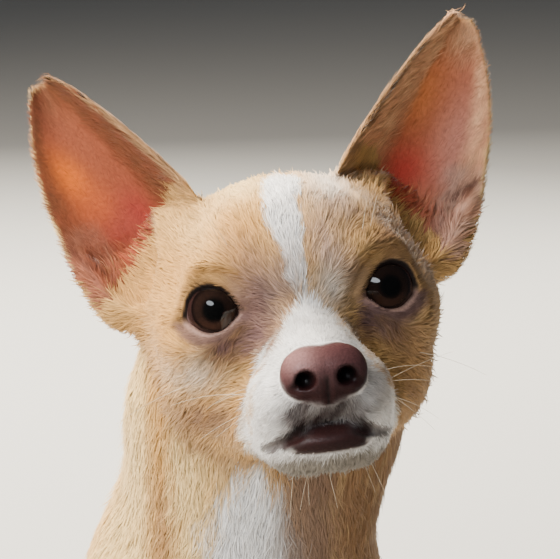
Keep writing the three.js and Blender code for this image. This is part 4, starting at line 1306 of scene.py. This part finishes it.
def chart_of(kind, p, parts):
    """Flat places for the roots on an unwrap of one part of the skin."""
    x, y, z = p.T
    q, e, _, _, inner = parts
    if kind.startswith("ear"):
        behind = (inner < 0.5).astype(float)
        return np.stack([(e[:, 0] / 60 + 0.5) * 0.48 + 0.51 * behind, e[:, 2]], 1)
    if kind.startswith(("face", "head", "muzzle")):
        d = q - SKULL_MIDDLE
        d /= np.linalg.norm(d, axis=1, keepdims=True)
        off = np.arccos(np.clip(-d[:, 1], -1, 1))
        round_about = np.hypot(d[:, 0], d[:, 2]).clip(1e-6)
        return np.stack([off * d[:, 0] / round_about, off * d[:, 2] / round_about], 1)
    if kind.startswith("tail"):
        link = ((p[:, None] - TAIL[None]) ** 2).sum(2).argmin(1)
        r = p - TAIL[link]
        return np.stack([link + 0.5 * np.tanh(r[:, 0] / 8), np.arctan2(r[:, 2], r[:, 1] + 1e-6)], 1)
    if kind.startswith("leg"):
        left, hind = x > 0, y > HIND_FROM
        middle_x, middle_y = np.where(hind, HIND_MIDDLE, FORE_MIDDLE)
        angle = np.arctan2(x - np.where(left, 1, -1) * middle_x, y - middle_y) / (2 * math.pi) + 0.5
        return np.stack([left * 1 + hind * 2 + angle * 0.94, z], 1)
    middle_y = np.interp(z, [0, 60, 120, 200, 260], [50, 40, 5, -30, -45])
    return np.stack([np.arctan2(x, y - middle_y), z], 1)


def kinds_of(p, parts):
    """Which piece of the coat each root belongs to."""
    q, _, head, ear, _ = parts
    x, y, z = np.abs(p[:, 0]), p[:, 1], p[:, 2]
    behind, low_part = y > BACK_FROM, z < CHEST_FROM
    rump, neck = low_part & behind & (x < RUMP_HALF), z > NECK_FROM
    body = np.select(
        [on_tail(p), rump, low_part, behind & ~neck, neck], ["tail", "rump", "leg", "back", "neck"], "chest"
    )
    muzzle, face = q[:, 1] < MUZZLE_FROM, q[:, 1] < FACE_FROM
    on_head = np.select([ear > 0.5, muzzle, face], ["ear", "muzzle", "face"], "head")
    on_head = np.char.add(on_head, np.where(q[:, 0] > 0, "_left", "_right"))
    return np.where(head > 0.5, on_head, body)


def make_coat():
    tufts = grow_coat()
    roots, parts, short = tufts[:3]
    kinds = kinds_of(roots, parts)
    for kind in sorted(set(kinds)):
        rows = np.flatnonzero(kinds == kind)
        order = rows[np.argsort(roots[rows, 2], kind="stable")]
        heavy = np.cumsum(np.where(short[order], len(SHORT_FACES), len(LONG_FACES)))
        lots = math.ceil(heavy[-1] / PIECE_TRIANGLES)
        for lot in range(lots):
            chosen = order[(heavy > heavy[-1] * lot / lots) & (heavy <= heavy[-1] * (lot + 1) / lots)]
            name = f"coat_{kind}" + (f"_{lot + 1}" if lots > 1 else "")
            add_coat_piece(name, kind, chosen, *tufts)


def tuft_rows(values, chosen, short):
    """The corners' values of the long tufts and then of the short ones, in one list."""
    few = values[chosen[short[chosen]]][:, SHORT_CORNERS]
    many = values[chosen[~short[chosen]]]
    return np.concatenate([v.reshape(-1, few.shape[-1]) for v in (many, few)])


# How far the corners of one tuft lie from its root on the unwrap.
TUFT_CHART = 0.0015 * np.array([[-1, -1], [1, -1], [0, -1], [-0.8, 0], [0.8, 0], [0, 0], [0, 1]])


def add_coat_piece(name, kind, chosen, roots, parts, short, verts, shade, colours):
    small = int(short[chosen].sum())
    large = len(chosen) - small
    large_faces = (np.arange(large)[:, None, None] * 7 + LONG_FACES[None]).reshape(-1, 3)
    small_faces = (large * 7 + np.arange(small)[:, None, None] * 4 + SHORT_FACES[None]).reshape(-1, 3)
    faces = np.concatenate([large_faces, small_faces])
    piece = make_mesh(name, tuft_rows(verts, chosen, short), faces, 3)
    set_colours(piece, tuft_rows(colours, chosen, short))
    flat = chart_of(kind, roots[chosen], [a[chosen] for a in parts])
    flat = 0.01 + 0.98 * (flat - flat.min(0)) / (flat.max(0) - flat.min(0)).clip(1e-6)
    places = np.zeros((len(roots), 7, 2))
    places[chosen] = (flat[:, None] + TUFT_CHART[None]).clip(0, 1)
    uv = tuft_rows(places, chosen, short)
    layer = piece.data.uv_layers.new(name="OFBake")
    layer.uv.foreach_set("vector", uv[faces.ravel()].astype(np.float32).ravel())
    piece.data.normals_split_custom_set_from_vertices(tuft_rows(shade, chosen, short))
    piece.data.materials.append(COAT)
    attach(piece, "root")


make_coat()


def ring_faces(rings, around):
    """The quads between neighbouring rings of points."""
    i, j = np.meshgrid(np.arange(rings - 1), np.arange(around), indexing="ij")
    k = (j + 1) % around
    a, b = i * around, (i + 1) * around
    return np.stack([a + j, a + k, b + k, b + j], -1).reshape(-1, 4)


# Whiskers: where each group stands on one side, its direction, how long, how many and how spread they are.
WHISKERS = [
    ((15.5, -25, -21), (0.8, 0.5, 0.0), 17, 2, 3.0),
    ((13.5, -29, -25), (0.75, 0.25, -0.35), 15, 2, 2.5),
    ((17, -18, -23), (0.8, 0.6, 0.05), 26, 1, 3.0),
    ((6, -23, -41), (0.25, -0.25, -0.9), 10, 3, 5.0),
    ((30, 4, -17), (0.85, 0.3, -0.3), 20, 1, 1.0),
    ((17, -4, 14), (0.3, -0.4, 0.9), 12, 2, 2.0),
]
WHISKER_THICK = 0.07


def make_whiskers():
    rng = np.random.RandomState(9)
    steps, around = 12, 5
    t = np.linspace(0, 1, steps)[:, None]
    spin = np.linspace(0, 2 * math.pi, around, endpoint=False)
    corners, faces = [], []
    for side in SIDES.values():
        for place, direction, long, count, spread in WHISKERS:
            for _ in range(count):
                root = np.array(place) + rng.normal(0, 0.5, 3) * spread
                aim_at = np.array(direction) + rng.normal(0, 0.13, 3)
                root[0], aim_at[0] = root[0] * side, aim_at[0] * side
                root = lifted(from_head(root)[None], -0.4, 9)[0][0]
                aim_at = HEAD_TURNED @ (aim_at / np.linalg.norm(aim_at))
                reach = long * rng.uniform(0.75, 1.15)
                sag = np.array([0, 0, -0.22]) * reach * rng.uniform(0.3, 1.2)
                line = root + aim_at * reach * t + sag * t * t
                first = np.cross(aim_at, [0.1, 0.2, 1])
                first /= np.linalg.norm(first)
                second = np.cross(aim_at, first)
                ring = np.cos(spin)[:, None] * first + np.sin(spin)[:, None] * second
                thick = WHISKER_THICK * (1 - 0.6 * t)
                faces.append(ring_faces(steps, around) + len(corners) * steps * around)
                corners.append((line[:, None] + ring[None] * thick[:, None]).reshape(-1, 3))
    piece = make_mesh("whiskers", np.concatenate(corners), np.concatenate(faces), 4)
    piece.data.materials.append(plain_material("whisker", 0.4, linear((216, 198, 172))))
    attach(piece, "root")


make_whiskers()


# Eyes: a ball with a bulging cornea, seen as a dark brown ring round the pupil.
IRIS, PUPIL = 6.25, 3.2
BALL_INSET, BALL_SHARE, BULGE = 0.12, 0.62, 0.5
GAZE_SHARE, GAZE_UP = 0.55, 0.03
IRIS_BROWN, IRIS_STREAK = linear((26, 17, 14)), linear((37, 24, 19))
# The iris's low colour is painted light, a lighter crescent in its lower part.
IRIS_LIT_LOW, IRIS_EDGE = linear((62, 41, 32)), linear((16, 9, 8))
EYE_WHITE, WHITE_EDGE = linear((120, 96, 96)), linear((44, 28, 26))
PUPIL_BLACK = np.full(3, 0.002)


def gaze_frame(side):
    out = math.radians(GAZE_OUT * GAZE_SHARE)
    ahead = np.array([side * math.sin(out), -math.cos(out), GAZE_UP])
    ahead /= np.linalg.norm(ahead)
    across = np.cross([0, 0, 1], ahead)
    across /= np.linalg.norm(across)
    return ahead, across, np.cross(ahead, across)


def eye_colours(out, spin):
    """The colours of the ball, by the distance from the gaze's axis and the angle round it."""
    streak = 0.5 + 0.5 * np.sin(spin * 23 + 3 * np.sin(spin * 7)) * np.sin(spin * 41)
    iris = painted(
        np.tile(IRIS_BROWN, (len(out), 1)),
        (IRIS_STREAK, 0.4 * streak + 0.1),
        # Painted light: a lighter crescent in the lower part of the iris.
        (IRIS_LIT_LOW, 0.5 * ramp(-0.1, -1, np.sin(spin)) * ramp(2.6, 4.2, out)),
        (IRIS_EDGE, ramp(IRIS - 1.3, IRIS - 0.1, out)),
        (PUPIL_BLACK, ramp(PUPIL + 0.8, PUPIL - 1.0, out)),
    )
    white = mixed(np.tile(EYE_WHITE, (len(out), 1)), WHITE_EDGE, ramp(8.4, 7.4, out))
    return mixed(iris, white, ramp(IRIS - 0.1, IRIS + 0.3, out))


def make_eye(name, side):
    ahead, across, up = gaze_frame(side)
    rings, around = 72, 96
    angle = np.linspace(0, math.pi * BALL_SHARE, rings)
    spin = np.linspace(0, 2 * math.pi, around, endpoint=False)
    a, s = np.meshgrid(angle, spin, indexing="ij")
    out = EYE_RADIUS * np.sin(a)
    radius = EYE_RADIUS - BALL_INSET + BULGE * ramp(IRIS + 0.8, 0, out)
    aside = np.cos(s)[..., None] * across + np.sin(s)[..., None] * up
    local = (radius * np.cos(a))[..., None] * ahead + (radius * np.sin(a))[..., None] * aside
    centre = np.array([side * EYE_AT[0], EYE_AT[1], EYE_AT[2]])
    faces = np.roll(ring_faces(rings, around), -1, axis=1)
    eye = make_mesh(name, from_head(local.reshape(-1, 3) + centre), faces, 4)
    set_colours(eye, eye_colours(out.ravel(), s.ravel()), "eye_colour")
    eye.data.materials.append(EYE)
    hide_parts(name)
    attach(eye, "root")
    return eye


wet_coat = {"Specular_IOR_Level": 0.0, "Coat_Weight": 1.0, "Coat_Roughness": 0.03, "Coat_IOR": 1.38}
EYE, eye_tree, eye_shader = new_material("eye", 0.3, **wet_coat)
eye_tree.links.new(attribute_colour(eye_tree, "eye_colour"), eye_shader.inputs["Base Color"])
for name, side in SIDES.items():
    make_eye("eye_" + name, side).name = "eyeball_" + name

HORN, horn_tree, horn_shader = new_material("claw", 0.35)
horn_colour = add_node(horn_tree, "ShaderNodeRGB")
horn_colour.outputs[0].default_value = (*linear((92, 74, 64)), 1)
horn_tone, _ = speckled(horn_tree, horn_colour.outputs[0], 700, 0.75, 1.15)
horn_tree.links.new(horn_tone, horn_shader.inputs["Base Color"])
for node_name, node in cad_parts.items():
    if node_name.startswith("claw"):
        node.data.materials.clear()
        node.data.materials.append(HORN)

# Floor, light and camera.
azimuth, elevation = math.radians(VIEW_AZIMUTH), math.radians(VIEW_ELEVATION)
RIGHT = Vector((math.cos(azimuth), math.sin(azimuth), 0))
UP = Vector(
    (-math.sin(azimuth) * math.sin(elevation), math.cos(azimuth) * math.sin(elevation), math.cos(elevation))
)
BACK = RIGHT.cross(UP)
VIEW_PIXELS, PIXEL = 560, 0.00027
CAMERA_FAR, SENSOR = 0.7, 36.0
EYES_PIXEL = (19.5, 19.3)
head_place = Vector(to_scene(HEAD_AT))
aim = head_place - RIGHT * EYES_PIXEL[0] * PIXEL + UP * EYES_PIXEL[1] * PIXEL
camera_data = bpy.data.cameras.new("camera")
camera_data.sensor_width = SENSOR
camera_data.lens = SENSOR * CAMERA_FAR / (VIEW_PIXELS * PIXEL)
camera_data.clip_start, camera_data.clip_end = 0.01, 50
camera = add_object("camera", camera_data)
camera.location = aim + BACK * CAMERA_FAR
camera.rotation_euler = BACK.to_track_quat("Z", "Y").to_euler()
bpy.context.scene.camera = camera

FLOOR_HALF = 6.0
floor_mesh = bpy.data.meshes.new("floor")
floor_corners = [(x * FLOOR_HALF, y * FLOOR_HALF, 0) for x, y in ((-1, -1), (1, -1), (1, 1), (-1, 1))]
floor_mesh.from_pydata(floor_corners, [], [(0, 1, 2, 3)])
floor_mesh.materials.append(plain_material("floor", 0.9, (0.5, 0.495, 0.48)))
floor = add_object("floor", floor_mesh)
floor.visible_glossy = False

world = bpy.data.worlds.new("world")
bpy.context.scene.world = world
world.use_nodes = True
background = world.node_tree.nodes["Background"]
background.inputs["Color"].default_value = (0.76, 0.87, 1, 1)
background.inputs["Strength"].default_value = 0.06


def add_light(name, place, power, size, colour):
    """An area light aimed at the head, its place given from there in the camera's directions, in metres."""
    right, up, back = place
    light = bpy.data.lights.new(name, "AREA")
    light.energy, light.size, light.color = power, size, colour
    lamp = add_object(name, light)
    lamp.location = head_place + RIGHT * right + UP * up + BACK * back
    lamp.rotation_euler = (head_place - lamp.location).to_track_quat("-Z", "Y").to_euler()
    return lamp


front_light = add_light("front", (-0.62, 0.5, 1.2), 14, 0.8, (0.88, 0.94, 1))
front_light.data.shape = "ELLIPSE"
front_light.data.size_y = 0.45
for name, place, power, size, colour in (
    ("key", (-0.8, 1.25, 0.35), 48, 0.5, (1, 0.9, 0.77)),
    ("side", (-1.1, 1.0, -0.5), 42, 0.5, (1, 0.9, 0.76)),
    ("rim", (-0.3, 1.0, -1.2), 60, 0.4, (1, 0.93, 0.8)),
    ("edge", (0.6, 0.7, -1.3), 16, 0.4, (1, 0.96, 0.82)),
    ("left", (-1.35, 0.3, 0.5), 21, 0.6, (1, 0.92, 0.8)),
    ("sky", (-0.3, 1.2, 0.9), 4, 1.2, (0.86, 0.93, 1)),
):
    add_light(name, place, power, size, colour).visible_glossy = False
